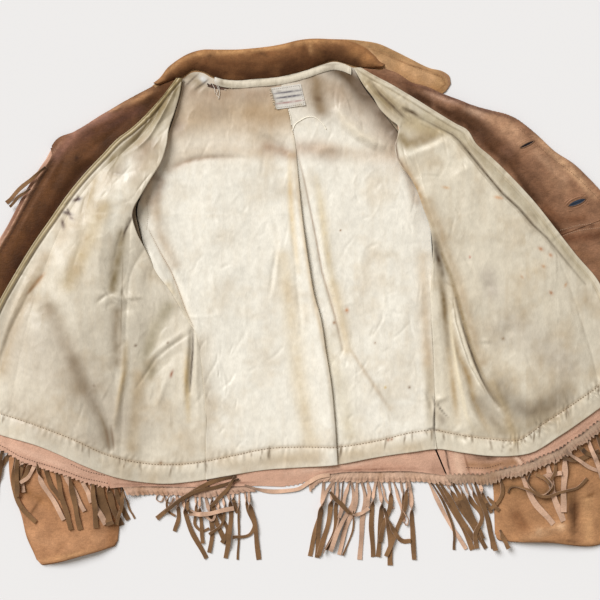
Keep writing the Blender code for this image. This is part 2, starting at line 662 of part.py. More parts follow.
BUTTON_RADIUS, BUTTON_WALL = 10.0, 3.4
BUTTON_INSET = 19.0
BUTTON_SIDES = 20
BUTTON_SHARES = [0.35, 0.52, 0.69, 0.86]
edge_line = FRONTS["left"]["edge_line"]
for number, share in enumerate(BUTTON_SHARES, 1):
    step = edge_line(share + 0.01) - edge_line(share - 0.01)
    centre = edge_line(share) - Vector((step.y, -step.x)).normalized() * BUTTON_INSET
    top = front_height("left", centre) - LAYER
    shape = bmesh.new()
    bmesh.ops.create_cone(shape, cap_ends=True, segments=BUTTON_SIDES, radius1=BUTTON_RADIUS * MM,
                          radius2=BUTTON_RADIUS * MM, depth=BUTTON_WALL * MM)
    mesh = bpy.data.meshes.new(f"button_{number}")
    shape.to_mesh(mesh)
    shape.free()
    button = bpy.data.objects.new(f"button_{number}", mesh)
    button.data.materials.append(horn)
    button.location = Vector((centre.x, centre.y, top - BUTTON_WALL / 2)) * MM
    bpy.context.scene.collection.objects.link(button)
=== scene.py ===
"""Fringed buckskin jacket, unbuttoned and laid open on its back with the satin lining up.

Tables are in millimetres in the frame of the solids: z = 0 is the surface it lies on, +Y points to the collar
and +X to the right, seen from above. Left and right are as seen so, and a line's points run from the collar to
the hem, or from left to right.
"""

import math

import bpy
import numpy as np
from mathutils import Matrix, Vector
from mathutils.bvhtree import BVHTree


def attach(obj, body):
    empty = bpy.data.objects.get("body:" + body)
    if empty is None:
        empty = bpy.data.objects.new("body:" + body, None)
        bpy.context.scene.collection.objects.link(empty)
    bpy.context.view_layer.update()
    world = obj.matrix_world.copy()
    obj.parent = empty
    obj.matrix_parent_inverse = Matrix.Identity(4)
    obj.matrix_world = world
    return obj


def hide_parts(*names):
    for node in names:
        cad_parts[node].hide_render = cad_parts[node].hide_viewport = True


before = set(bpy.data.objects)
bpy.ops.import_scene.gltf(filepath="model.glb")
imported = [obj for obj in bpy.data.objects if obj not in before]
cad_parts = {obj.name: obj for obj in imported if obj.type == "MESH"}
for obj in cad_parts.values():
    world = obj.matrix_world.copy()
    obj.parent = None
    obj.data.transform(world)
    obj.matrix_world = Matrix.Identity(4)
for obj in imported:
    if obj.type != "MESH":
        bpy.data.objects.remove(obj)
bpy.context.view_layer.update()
shown = bpy.context.scene

# ---------------------------------------------------------------- sleeves

# Each sleeve is a tube of smoke-tanned buckskin, hair side out, pressed flat under the front that covers it.
# Only its cuff shows, with the creases of the wrist.

MM = 0.001
LEATHER = 1.2
SEAM = 0.3
LAYER = 0.4
LINE_STEPS = 12
COURSE_STEPS = 40
LEVEL, UPRIGHT = np.array([1, 1, 0]), np.array([0, 0, 1.0])


def travelled(points):
    """How far along a row of points each of them is."""
    return np.concatenate([[0], np.cumsum(np.linalg.norm(np.diff(points, axis=0), axis=1))])


def walk(points, travel, goal):
    """The spots at the distances `goal` along a row of points that are `travel` along it."""
    return np.stack([np.interp(goal, travel, axis) for axis in points.T], -1)


def unit(ways):
    """The same ways, each of length 1."""
    return ways / (np.linalg.norm(ways, axis=-1, keepdims=True) + 1e-12)


def smooth_line(table):
    """A function from shares of the length, 0..1, to points on the smooth line through a table's points."""
    spots = np.array(table, float)
    ends = np.vstack([2 * spots[0] - spots[1], spots, 2 * spots[-1] - spots[-2]])
    t = np.linspace(0, 1, LINE_STEPS, endpoint=False)[:, None]
    dense = []
    for before, start, end, after in zip(ends, ends[1:], ends[2:], ends[3:]):
        left, span, right = (np.linalg.norm(q - p) for p, q in ((before, start), (start, end), (end, after)))
        leave = ((start - before) / left * span + (end - start) / span * left) / (left + span) * span
        arrive = ((end - start) / span * right + (after - end) / right * span) / (span + right) * span
        dense.append(start * (2 * t**3 - 3 * t**2 + 1) + leave * (t**3 - 2 * t**2 + t)
                     + end * (3 * t**2 - 2 * t**3) + arrive * (t**3 - t**2))
    dense = np.vstack([*dense, spots[-1:]])
    travel = travelled(dense)

    def at(share):
        return walk(dense, travel, np.clip(share, 0, 1) * travel[-1])

    at.length = travel[-1]
    return at


def samples(line, count=COURSE_STEPS):
    return line(np.linspace(0, 1, count + 1))


def course(points, spots):
    """Distance of each spot from a row of points, the share of the row there, and +1 left of it or -1 right."""
    points = np.asarray(points, float)
    flat = spots[..., :2].reshape(-1, 2)
    if len(points) == 1:
        away = np.linalg.norm(flat - points[0], axis=1).reshape(spots.shape[:-1])
        return away, np.full(away.shape, 0.5), np.ones(away.shape)
    best = np.full(len(flat), np.inf)
    share, hand = np.zeros(len(flat)), np.ones(len(flat))
    for k, (start, end) in enumerate(zip(points, points[1:])):
        run, to = end - start, flat - start
        t = np.clip(to @ run / (run @ run), 0, 1)
        away = np.linalg.norm(to - t[:, None] * run, axis=1)
        near = away < best
        best[near] = away[near]
        share[near] = (k + t[near]) / (len(points) - 1)
        hand[near] = np.where(run[0] * to[near, 1] - run[1] * to[near, 0] < 0, -1, 1)
    return (found.reshape(spots.shape[:-1]) for found in (best, share, hand))


def ramp(t):
    """0 below 0, 1 above 1 and smooth between."""
    t = np.clip(t, 0, 1)
    return t * t * (3 - 2 * t)


def bell(away, width):
    """1 at 0, and nothing a few widths away."""
    return np.exp(-((away / width) ** 2))


def swell(share, blunt, power=0.5):
    """0 or little at both ends of a line, 1 at its middle."""
    return np.sin(np.pi * np.clip(share, blunt, 1 - blunt)) ** power


def rumple(spots, size, seed):
    """Smooth random heights between -1 and 1, whose bumps are about `size` across."""
    table = np.random.default_rng(seed).uniform(-1, 1, (64, 64))
    cell = spots[..., :2] / size + 300
    base = np.floor(cell).astype(int)
    t = ramp(cell - base)
    x, y = base[..., 0] % 63, base[..., 1] % 63
    low = table[x, y] * (1 - t[..., 0]) + table[x + 1, y] * t[..., 0]
    high = table[x, y + 1] * (1 - t[..., 0]) + table[x + 1, y + 1] * t[..., 0]
    return low * (1 - t[..., 1]) + high * t[..., 1]


def waves(spots, table):
    """Soft waves, each with its height, its size across and its seed, added up."""
    return sum(high * rumple(spots, wide, seed) for high, wide, seed in table)


def creased(spots, folds):
    """Height added by folds: each is a ridge, or a trough below zero, with its reach to the left and right."""
    lift = np.zeros(spots.shape[:-1])
    for line, height, west, east in folds:
        away, share, hand = course(line, spots)
        reach = np.where(hand > 0, east, west)
        ends = 1 if len(line) == 1 else swell(share, 0.02)
        lift += height * np.exp(-((away / reach) ** 1.6)) * ends
    return lift


def linear(code):
    """An sRGB hex colour as linear values."""
    parts = np.array([int(code[k : k + 2], 16) / 255 for k in (0, 2, 4)])
    return np.where(parts <= 0.04045, parts / 12.92, ((parts + 0.055) / 1.055) ** 2.4)


BRUSH = 7.0


def painted(spots, ground, marks=(), ragged=0.4):
    """A colour for each spot: the ground, and over it each mark's own colour along its line, ragged at its
    edge. A thin one fades at its ends."""
    colour = np.broadcast_to(linear(ground), (*spots.shape[:-1], 3)).copy()
    for number, (code, line, width, strength) in enumerate(marks):
        away, share, _ = course(line, spots)
        coarse, fine = rumple(spots, 1.6 * width + 3, number), rumple(spots, 0.5 * width + 1.5, number + 40)
        ends = swell(share, 0.04) if width < BRUSH and len(line) > 1 else 1
        away = away * (1 + ragged * coarse + 0.6 * ragged * fine)
        worn = np.clip(1 + ragged * (1.2 * coarse + fine), 0, 1.2)
        cover = strength * ends * worn * bell(away, width)
        colour += (linear(code) - colour) * np.clip(cover, 0, 1)[..., None]
    return colour


def add(tree, kind, inputs=(), **settings):
    """A node with its settings. Each input is a value or another node's output."""
    made = tree.nodes.new(kind)
    for key, value in settings.items():
        setattr(made, key, value)
    for socket, value in dict(inputs).items():
        if isinstance(value, bpy.types.NodeSocket):
            tree.links.new(value, made.inputs[socket])
        else:
            made.inputs[socket].default_value = value
    return made


CREASED = "RIDGED_MULTIFRACTAL"


def dyed(name, layers, **values):
    """A material that takes its colour from the dye of its mesh. Each layer of noise has the size of its grain
    in mm, its stretch, its turn and its kind, how far it lightens and darkens the dye, and its relief in mm."""
    made = bpy.data.materials.new(name)
    made.use_nodes = True
    tree = made.node_tree
    shader = tree.nodes["Principled BSDF"]
    for socket, value in values.items():
        shader.inputs[socket.replace("_", " ")].default_value = value
    place = add(tree, "ShaderNodeTexCoord").outputs["Object"]
    colour = add(tree, "ShaderNodeAttribute", attribute_name="dye").outputs["Color"]
    height = 0.0
    for size, stretch, turn, kind, tone, depth in layers:
        scaled = add(tree, "ShaderNodeMapping", {0: place, 2: (0, 0, turn), 3: stretch}).outputs[0]
        grain = add(tree, "ShaderNodeTexNoise", {0: scaled, "Scale": 1 / (size * MM), "Detail": 4.0},
                    noise_type=kind)
        if kind == CREASED:
            grain.inputs["Offset"].default_value = 1.0
        grain = grain.outputs[0]
        if tone:
            shade = add(tree, "ShaderNodeMapRange", {0: grain, 1: 0.35, 2: 0.65, 3: 1 - tone, 4: 1 + tone})
            dyed_by = {0: colour, "Scale": shade.outputs[0]}
            colour = add(tree, "ShaderNodeVectorMath", dyed_by, operation="SCALE").outputs[0]
        if depth:
            raised_by = {0: grain, 1: depth, 2: height}
            height = add(tree, "ShaderNodeMath", raised_by, operation="MULTIPLY_ADD").outputs[0]
    tree.links.new(colour, shader.inputs["Base Color"])
    relief = add(tree, "ShaderNodeBump", {"Height": height, "Distance": MM})
    tree.links.new(relief.outputs[0], shader.inputs["Normal"])
    return made


EVEN = (1, 1, 1)


def buckskin(name, nap, depth, roughness, fuzz, mottle):
    """Smoke-tanned deerskin, broken soft: hardly any shine, a short nap, and smoke that took unevenly."""
    return dyed(name, [(20, EVEN, 0, "FBM", mottle, 0), (5, (1, 1.5, 1), 0, "FBM", 0.6 * mottle, depth),
                       (nap, EVEN, 0, "FBM", 0.1, depth)],
                Roughness=roughness, Sheen_Weight=fuzz, Sheen_Roughness=0.5, Specular_IOR_Level=0.15)


hair_side = buckskin("smoked_buckskin_hair_side", 1.6, 0.4, 0.8, 0.06, 0.13)


def normals(points):
    """Unit normals of a grid of points, upwards in its first columns."""
    out = unit(np.cross(np.gradient(points, axis=1), np.gradient(points, axis=0)))
    return out if out[:, out.shape[1] // 4, 2].sum() > 0 else -out


def placed(name, data):
    """A new object in the scene."""
    made = bpy.data.objects.new(name, data)
    shown.collection.objects.link(made)
    return made


def mesh_object(name, spots, faces, material, colours, nodes=(), sharp=None):
    """A smooth mesh from points in millimetres, with its vertex colours and any angle from which an edge is
    sharp, and the solids' nodes that it replaces."""
    mesh = bpy.data.meshes.new(name)
    spots = np.column_stack([spots[:, :2], np.maximum(spots[:, 2], 0)])
    mesh.from_pydata((spots * MM).tolist(), [], faces)
    mesh.materials.append(material)
    dye = mesh.color_attributes.new("dye", "FLOAT_COLOR", "POINT")
    dye.data.foreach_set("color", np.hstack([colours, np.ones((len(colours), 1))]).ravel())
    mesh.shade_smooth()
    if sharp:
        mesh.set_sharp_from_angle(angle=math.radians(sharp))
    made = placed(name, mesh)
    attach(made, "root")
    if nodes:
        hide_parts(*nodes)
    return made


CUT_ANGLE = 50


def shell(name, points, material, colours, nodes=(), wall=0.0, under=None, loop=False, torn=None):
    """A sheet through a grid of points, with a wall upwards and its own colour underneath if it is leather. A
    loop joins its last column to its first, and `torn` says which of its quads are missing."""
    rows, columns = points.shape[:2]
    index = np.arange(rows * columns).reshape(rows, columns)
    if loop:
        index = np.hstack([index, index[:, :1]])
    out = normals(points)
    quads = np.stack([index[:-1, :-1], index[:-1, 1:], index[1:, 1:], index[1:, :-1]], -1)
    quads = quads[~torn] if torn is not None else quads.reshape(-1, 4)
    spots = points.reshape(-1, 3)
    a, b, d = (spots[quads[:, k]] for k in (0, 1, 3))
    if (np.cross(b - a, d - a) * out.reshape(-1, 3)[quads[:, 0]]).sum() < 0:
        quads = quads[:, ::-1]
    tint = np.broadcast_to(colours, points.shape).reshape(-1, 3)
    if wall:
        count = len(spots)
        rim = np.concatenate([index[0, :-1], index[:-1, -1], index[-1, :0:-1], index[:0:-1, 0]])
        ahead = np.roll(rim, -1)
        skirt = np.stack([rim, ahead, ahead + count, rim + count], -1)
        if (rim[0], ahead[0]) not in zip(quads[0], np.roll(quads[0], -1)):
            skirt = skirt[:, ::-1]
        quads = np.vstack([quads + count, quads[:, ::-1], skirt])
        spots = np.vstack([spots, (points + out * wall).reshape(-1, 3)])
        below = np.broadcast_to(linear(under), tint.shape) if under else tint
        tint = np.vstack([below, tint])
    return mesh_object(name, spots, quads.tolist(), material, tint, nodes, CUT_ANGLE if wall else None)


# Outer and inner are the two folds of the flattened tube, from the armhole to the cuff.
SLEEVES = {
    "left": {
        "armhole": [(-176.2, 264), (-204.2, 190), (-223.2, 150), (-230.5, 127), (-226.3, 100), (-219, 71)],
        "into_body": [(-120, 290), (-145, 69)],
        "outer": [(-176.2, 264), (-228, 222), (-280, 180), (-322, 125), (-352, 60), (-378, -20), (-398, -110),
                  (-409, -200), (-405, -266), (-391, -305), (-384, -334), (-372, -361), (-370, -366)],
        "inner": [(-218.8, 71), (-237, 40), (-243, -10), (-246, -80), (-250, -160), (-254, -240),
                  (-256, -310), (-259, -343)],
        "cuff": [(-370, -366), (-365, -371), (-357, -370.5), (-310, -359.5), (-270, -348), (-260, -344),
                 (-258, -340)],
    },
    "right": {
        "armhole": [(104.2, 281), (151.2, 215), (179.3, 140), (188.2, 52)],
        "into_body": [(51, 309), (120, 50)],
        "outer": [(104.2, 281), (170, 246), (230, 215), (285, 172), (330, 118), (362, 60), (392, -20),
                  (415, -100), (428, -190), (434, -280), (434, -330)],
        "inner": [(188, 52), (212, -20), (232, -90), (250, -160), (264, -215), (273, -260), (275, -300),
                  (276, -330)],
        "cuff": [(434, -330), (433, -338), (426, -341), (350, -340), (290, -338), (278, -336), (276, -330)],
    },
}
SLEEVE_HAND = {"left": 1.0, "right": -1.0}
CROWN_END, CROWN_MIDDLE = 8.0, 12.0
SLEEVE_FOLD = LEATHER + SEAM
SLEEVE_ROOM = 3.3
OVER_SLEEVE = SLEEVE_FOLD + LEATHER + SLEEVE_ROOM
BESIDE_SLEEVE = 35.0
SLEEVE_ROWS, SLEEVE_COLUMNS = 150, 40
TUBE_EDGE = (SLEEVE_FOLD + LEATHER) / 2
CUFF_TURN = 14.0
CUFF_LIP, LIP_ROUND, LIP_DROP = 2.0, 0.5, 0.6
TUBE_ANGLES = (45, 0, -45)
# How high the soft waves of a sleeve are, their size across and their seed.
SLEEVE_WAVES = [(0.7, 30, 3), (0.3, 11, 4)]
# The armhole end of each sleeve is painted the colour of the satin seam allowance in shade: painted shade.
FACED_ROWS, SHADED_SATIN_FACING = 14, "8f7f69"

for parts in SLEEVES.values():
    parts["line"] = {edge: smooth_line(parts[edge]) for edge in ("armhole", "outer", "inner", "cuff")}
    parts["spots"] = {edge: np.vstack([into, samples(parts["line"][edge])])
                      for edge, into in zip(("outer", "inner"), parts["into_body"])}


def sleeve_depths(side, spots):
    """How far inside the outer and the inner fold spots are, and how far down the sleeve."""
    outer, along, outer_hand = course(SLEEVES[side]["spots"]["outer"], spots)
    inner, _, inner_hand = course(SLEEVES[side]["spots"]["inner"], spots)
    return outer * outer_hand * SLEEVE_HAND[side], -inner * inner_hand * SLEEVE_HAND[side], along


def sleeve_crown(from_outer, from_inner, along):
    """How high the upper sleeve stands over its folds."""
    crown = CROWN_END + (CROWN_MIDDLE - CROWN_END) * np.sin(np.pi * along)
    outer, inner = np.maximum(from_outer, 1e-6), np.maximum(from_inner, 1e-6)
    inside = (from_outer > 0) & (from_inner > 0)
    return np.where(inside, crown * np.sin(np.pi * outer / (outer + inner)) ** 0.75, 0)


def over_sleeve(side, spots):
    """Height of whatever lies on a sleeve: over the tube, then down to the surface beside it."""
    from_outer, from_inner, along = sleeve_depths(side, spots)
    outside = np.maximum(np.maximum(-from_outer, -from_inner), 0)
    beside = OVER_SLEEVE * (1 - ramp(outside / BESIDE_SLEEVE))
    return np.where(outside > 0, beside, OVER_SLEEVE + sleeve_crown(from_outer, from_inner, along))


WRIST_CREASES = {
    "left": [
        ([(-388, -268), (-372, -273), (-352, -284)], -1.8, 4, 6),
        ([(-381, -303), (-372, -292), (-363, -279)], -2.0, 3, 3),
        ([(-342, -356), (-334, -346), (-324, -336)], -1.6, 3, 3),
        ([(-405, -240), (-380, -250), (-350, -262), (-320, -270)], 2.0, 10, 10),
        ([(-300, -285), (-292, -320), (-290, -352)], 1.4, 14, 9),
        ([(-345, -290), (-335, -330), (-338, -358)], -1.2, 9, 7),
    ],
    "right": [
        ([(384, -276), (386, -305), (389, -338)], -3.6, 4, 8),
        ([(376, -276), (378, -305), (380, -338)], 2.6, 14, 4),
        ([(385, -272), (402, -275), (424, -272)], -1.6, 4, 4),
        ([(310, -330), (338, -322), (370, -314)], 2.4, 9, 7),
        ([(330, -315), (345, -325), (360, -338)], -1.0, 8, 8),
        ([(405, -290), (410, -310), (412, -336)], 1.2, 8, 8),
    ],
}
# Smoke tones on the cuffs, with painted shade in the wrist creases, along the opening and under the fringe, and
# painted highlights on the folds.
CUFF_TONES_AND_PAINTED_LIGHT = {
    "left": [
        ("8a5c30", [(-395, -262), (-380, -272), (-352, -284)], 7, 0.55),
        ("5a3a1c", [(-381, -303), (-372, -292), (-363, -279)], 2.2, 0.8),
        ("7c5130", [(-340, -353), (-333, -345), (-326, -337)], 5, 0.8),
        ("c4936c", [(-372, -330), (-350, -340), (-320, -342), (-285, -335)], 14, 0.6),
        ("7a4f28", [(-270, -270), (-262, -310), (-262, -345)], 9, 0.5),
        ("6f4a26", [(-391, -318), (-384, -338), (-372, -364)], 3, 0.6),
        ("cfa070", [(-366, -367), (-330, -361), (-290, -351)], 3, 0.5),
    ],
    "right": [
        ("84603f", [(280, -262), (330, -270), (380, -277)], 12, 0.85),
        ("6b4a30", [(378, -283), (380, -305)], 5, 0.8),
        ("7d5334", [(304, -303), (313, -318)], 10, 0.8),
        ("c99c74", [(316, -334), (338, -329), (358, -319), (372, -321)], 6, 0.85),
        ("e0bd98", [(334, -322), (338, -326)], 4, 0.7),
        ("e0bd98", [(362, -317), (370, -318)], 4, 0.7),
        ("583820", [(386, -273), (387, -297), (385, -337)], 6.5, 0.98),
        ("c39569", [(404, -280), (406, -305), (405, -334)], 8, 0.85),
        ("7b5431", [(393, -274), (402, -275), (424, -272)], 1.6, 0.8),
        ("4a2f1c", [(314, -338), (350, -339), (392, -339)], 1.8, 0.9),
    ],
}
CUFF_GROUND = {"left": "ae7e59", "right": "a97c56"}


def rounded(edge, away, radius, angles):
    """Lines that carry an edge over in a round, at angles from straight up to straight down."""
    return [edge + (away * math.cos(turn) + UPRIGHT * (math.sin(turn) - 1)) * radius
            for turn in map(math.radians, angles)]


def sleeve(side):
    """A flattened tube: the upper sleeve, its inner fold, the under sleeve and the outer fold, with the cuff's
    edge turned in."""
    line = SLEEVES[side]["line"]
    v = np.linspace(0, 1, SLEEVE_ROWS)
    u = np.linspace(0, 1, SLEEVE_COLUMNS)
    down, over = v[:, None, None], u[None, :, None]
    across = line["armhole"](u)[None] * (1 - down) + line["cuff"](u)[None] * down
    along = line["outer"](v)[:, None] * (1 - over) + line["inner"](v)[:, None] * over
    start = line["outer"](0.0) * (1 - over) + line["inner"](0.0) * over
    end = line["outer"](1.0) * (1 - over) + line["inner"](1.0) * over
    flat = across + along - start * (1 - down) - end * down
    height = SLEEVE_FOLD + LEATHER + sleeve_crown(*sleeve_depths(side, flat))
    wrinkled = creased(flat, WRIST_CREASES[side]) + waves(flat, SLEEVE_WAVES)
    height = height + wrinkled * np.sin(np.pi * over[..., 0])
    upper = np.dstack([flat, height])
    under = np.dstack([flat, np.zeros(height.shape)])[:, ::-1]
    under[-3:, :, :2] += (under[-1:, :, :2] - under[-4:-3, :, :2]) * (CUFF_LIP / 12)
    aside = unit((upper[:, -1] - upper[:, 0]) * LEVEL)
    inner = rounded(upper[:, -1], aside, TUBE_EDGE, TUBE_ANGLES)
    outer = rounded(upper[:, 0], -aside, TUBE_EDGE, TUBE_ANGLES)[::-1]
    inner, outer = np.stack(inner, 1), np.stack(outer, 1)
    tube = np.concatenate([upper, inner, under, outer], axis=1)
    inwards = np.zeros(tube.shape[1:])
    inwards[:SLEEVE_COLUMNS, 2] = -1
    inwards[SLEEVE_COLUMNS + 3 : -3, 2] = 1
    inwards[SLEEVE_COLUMNS : SLEEVE_COLUMNS + 3] = -aside[-1]
    inwards[-3:] = aside[-1]
    onwards = unit((tube[-1] - tube[-5]) * LEVEL)
    lip = [tube[-1] + onwards * LIP_ROUND + inwards * LIP_DROP, tube[-1] + inwards * LEATHER,
           tube[-1] - onwards * CUFF_TURN + inwards * LEATHER]
    return np.concatenate([tube, np.stack(lip)])


for side in SLEEVES:
    tube = sleeve(side)
    colours = painted(tube, CUFF_GROUND[side], CUFF_TONES_AND_PAINTED_LIGHT[side])
    # Painted shade: the sleeve's armhole end is coloured as shaded satin.
    colours[:FACED_ROWS] = linear(SHADED_SATIN_FACING)
    made = shell(f"sleeve_{side}", tube, hair_side, colours,
                 [f"sleeve_{side}_upper", f"sleeve_{side}_under"], loop=True)

# ---------------------------------------------------------------- collar

# A shirt collar of two skins glued and topstitched. The stand goes up from the neck seam and rolls over at its
# fold. The fall lies under it, and its right end spreads past the stand to the collar's point.

DOUBLE_LEATHER = 2.0
COLLAR_ROWS, COLLAR_COLUMNS = 26, 230
COLLAR_ROUND, COLLAR_TURN = 0.9, 3
FALL_SINK, FALL_SHOWS_FROM = 0.2, 60
STAND_TURN = 5
NECK_SEAM = [(-197, 302), (-182, 307), (-165, 315), (-151, 324), (-136, 322), (-125, 316), (-109, 311),
             (-91, 309), (-64, 311), (-28, 314), (-15, 318), (11, 325), (31, 333), (49, 338), (60, 335),
             (76, 330), (91, 327), (112, 326)]
COLLAR_FOLD = [(-205, 305), (-197, 311), (-185, 326), (-171, 337), (-155, 346), (-136, 351), (-118, 351),
               (-91, 351), (-64, 353), (-28, 358), (-3, 364), (11, 366), (38, 366), (70, 363), (92, 353),
               (105, 342), (113, 334), (119, 331)]
FALL_TOP = [(-208, 301), (-197, 311), (-185, 326), (-171, 337), (-155, 346), (-136, 351), (-91, 351),
            (-28, 358), (11, 367), (38, 367), (84, 365), (112, 360), (132, 351), (154, 340), (183, 326),
            (202, 321), (210, 315), (212, 305)]
FALL_BOTTOM = [(-200, 294), (-178, 296), (-155, 302), (-125, 302), (-91, 298), (-28, 303), (11, 312),
               (49, 324), (84, 318), (112, 313), (140, 300), (165, 290), (190, 285), (205, 294)]
UNDER_LAPEL = [(120, 323), (157, 302), (200, 287)]
LEAF_STITCH = [(92, 358), (112, 353), (131, 344), (152, 333), (181, 320), (198, 315), (204, 308)]
COLLAR_LIFT = 3.2
COLLAR_NEAR = 14.0
COLLAR_SLOPE = 50.0
STAND_ROLL = 5.0
FOLD_ROUND = 1.9
ROUND_ANGLES = (60, 30, 0, -30, -60, -90)
collar_course = samples(smooth_line([*NECK_SEAM[1:-1], *UNDER_LAPEL]))


def over_collar(spots):
    """Height of what lies on the fall, near the neck seam and the right point."""
    away, _, _ = course(collar_course, spots)
    return COLLAR_LIFT * (1 - ramp((away - COLLAR_NEAR) / COLLAR_SLOPE))


def band(lower, upper, rows, columns):
    """Flat points between an upper edge, in the first row, and a lower one."""
    u, down = np.linspace(0, 1, columns), np.linspace(0, 1, rows)[:, None, None]
    return smooth_line(upper)(u)[None] * (1 - down) + smooth_line(lower)(u)[None] * down


def turned_under(points, side, radius, under):
    """The grid with one side (first or last column, top or bottom row) turned down in a half round and back
    under itself."""
    grid = points if side in ("first", "last") else points.swapaxes(0, 1)
    grid = grid[:, ::-1] if side in ("first", "top") else grid
    edge = grid[:, -1]
    away = unit((edge - grid[:, -3]) * LEVEL)
    more = rounded(edge, away, radius, ROUND_ANGLES)
    more.append(more[-1] - away * under)
    grid = np.concatenate([grid, np.stack(more, 1)], axis=1)
    grid = grid[:, ::-1] if side in ("first", "top") else grid
    return grid if side in ("first", "last") else grid.swapaxes(0, 1)


def tube_faces(start, rows, sides):
    """The faces of a closed tube through rows of vertices, which are numbered from start."""
    last = start + (rows - 1) * sides
    ring = [(k, (k + 1) % sides) for k in range(sides)]
    walls = [(r + a, r + b, r + b + sides, r + a + sides) for r in range(start, last, sides) for a, b in ring]
    return [*walls, tuple(range(start, start + sides))[::-1], tuple(range(last, last + sides))]


THREAD_SIDES = 5


def threads(name, lines, radius, material, colour):
    """Threads as thin round tubes along lines of points in millimetres."""
    spots, faces = [], []
    turn = 2 * np.pi * np.arange(THREAD_SIDES)[:, None] / THREAD_SIDES
    for line in lines:
        way = unit(np.gradient(line, axis=0))
        aside = unit(np.cross(way, UPRIGHT))
        faces += tube_faces(len(spots), len(line), THREAD_SIDES)
        for middle, across, rise in zip(line, aside, np.cross(aside, way)):
            spots.extend(middle + radius * (across * np.cos(turn) + rise * np.sin(turn)))
    spots = np.array(spots)
    return mesh_object(name, spots, faces, material, np.broadcast_to(linear(colour), spots.shape))


trees = {}


def drop(spots, *pieces):
    """Flat spots laid on the highest of some pieces, or on the surface."""
    heights = np.zeros(len(spots))
    for piece in pieces:
        if piece.name not in trees:
            mesh = piece.data
            trees[piece.name] = BVHTree.FromPolygons([v.co for v in mesh.vertices],
                                                     [tuple(p.vertices) for p in mesh.polygons])
        for k, (x, y) in enumerate(spots[:, :2] * MM):
            hit = trees[piece.name].ray_cast(Vector((x, y, 0.2)), Vector((0, 0, -1)))[0]
            if hit:
                heights[k] = max(heights[k], hit.z / MM)
    return np.column_stack([spots[:, :2], heights])


def height_on(spots, *pieces):
    """Heights of the highest of some pieces at a grid of flat spots."""
    return drop(spots.reshape(-1, 2), *pieces)[:, 2].reshape(spots.shape[:-1])


def stitch_lines(tables, pieces, pitch=3.2, share=0.65, rise=0.25, sink=0.35):
    """Short bowed threads along lines on the pieces, `pitch` apart."""
    made = []
    for line in map(smooth_line, tables):
        count = max(int(line.length / pitch), 1)
        for k in range(count):
            spots = drop(line(np.linspace(k, k + share, 4) / count), *pieces)
            made.append(spots + UPRIGHT * np.array([-sink, rise, rise, -sink])[:, None])
    return made


# Waxed cotton thread, too fine for its twist to show: a soft low gloss.
thread = dyed("waxed_cotton_thread", [(1.2, EVEN, 0, "FBM", 0.15, 0)], Roughness=0.6, Sheen_Weight=0.1)
fall = band(FALL_BOTTOM, FALL_TOP, COLLAR_ROWS, COLLAR_COLUMNS)
fall_creases = [
    (LEAF_STITCH, -0.5, 2, 2),
    ([(96, 354), (105, 343), (113, 334), (130, 321), (150, 309)], 1.6, 5, 7),
    ([(120, 340), (150, 326), (180, 312)], 0.8, 9, 9),
]
fall_z = DOUBLE_LEATHER - FALL_SINK + creased(fall, fall_creases) * (fall[..., 0] > FALL_SHOWS_FROM)
# The fall's tan: painted highlights along its roll and over its point, painted shade below the roll and along
# the lower edge of the point, and a dark line along the topstitching.
FALL_TONES_AND_PAINTED_LIGHT = [
    ("e0b58a", [(97, 353), (105, 342), (113, 333), (130, 321), (150, 309)], 2.2, 0.75),
    ("9d7145", [(140, 322), (170, 305), (196, 292)], 9, 0.6),
    ("d8ac80", [(150, 330), (185, 314)], 9, 0.5),
    ("8a6450", [(196, 322), (208, 315), (211, 305), (206, 295)], 1.8, 0.8),
    ("7d5534", [(92, 355), (112, 350), (131, 341), (152, 332), (181, 323), (200, 314), (205, 304),
                (190, 292)],
     1.2, 0.85),
    ("c99f75", [(118, 336), (150, 322), (178, 308)], 9, 0.5),
]
fall_top = turned_under(np.dstack([fall, fall_z]), "last", COLLAR_ROUND, COLLAR_TURN)
fall_top = turned_under(fall_top, "top", COLLAR_ROUND, COLLAR_TURN)
collar_fall = shell("collar_fall_skin", fall_top, hair_side, painted(fall_top, "a68159", FALL_TONES_AND_PAINTED_LIGHT),
                    ["collar_fall"])

# The stand's brown: painted shade along the neck seam, under the roll and in its creases, and painted
# highlights along the fold.
STAND_TONES_AND_PAINTED_LIGHT = [
    ("4e2f18", [(-178, 311), (-151, 328), (-125, 320), (-91, 314), (-28, 319), (11, 331), (49, 343),
                (80, 335)], 13,
     0.9),
    ("5a371c", [(-130, 335), (-85, 330), (-40, 333), (5, 343)], 9, 0.65),
    ("6d4526", [(-100, 343), (-60, 345), (-10, 353), (40, 358)], 6, 0.6),
    ("4a2c15", [(-20, 330), (15, 342), (48, 350)], 8, 0.7),
    ("b78a5c", [(-200, 308), (-184, 324), (-170, 335), (-154, 343), (-136, 348), (-91, 349), (-28, 356),
                (11, 364),
                (38, 365), (70, 362)], 4.5, 0.75),
    ("7a5230", [(-165, 332), (-150, 340)], 8, 0.55),
    ("a9794c", [(80, 350), (98, 338)], 9, 0.75),
    ("54361e", [(-132, 341), (-120, 345)], 4, 0.8),
    ("5f3f24", [(-62, 350), (-52, 346), (-42, 340)], 3.5, 0.8),
    ("5a3a20", [(4, 360), (8, 345), (4, 330)], 4, 0.8),
    ("6b4828", [(22, 353), (31, 340)], 5, 0.7),
    ("b98d60", [(14, 362), (16, 346)], 3, 0.6),
]
STAND_CREASES = [
    ([(-150, 326), (-140, 336), (-133, 349)], -0.8, 3, 5),
    ([(-64, 312), (-60, 330), (-66, 350)], -0.6, 4, 4),
    ([(12, 328), (20, 345), (18, 364)], -0.7, 4, 5),
    ([(60, 337), (70, 348), (72, 362)], 0.8, 5, 5),
]
stand = band([(x, y + SEAM) for x, y in NECK_SEAM], COLLAR_FOLD, COLLAR_ROWS, COLLAR_COLUMNS)
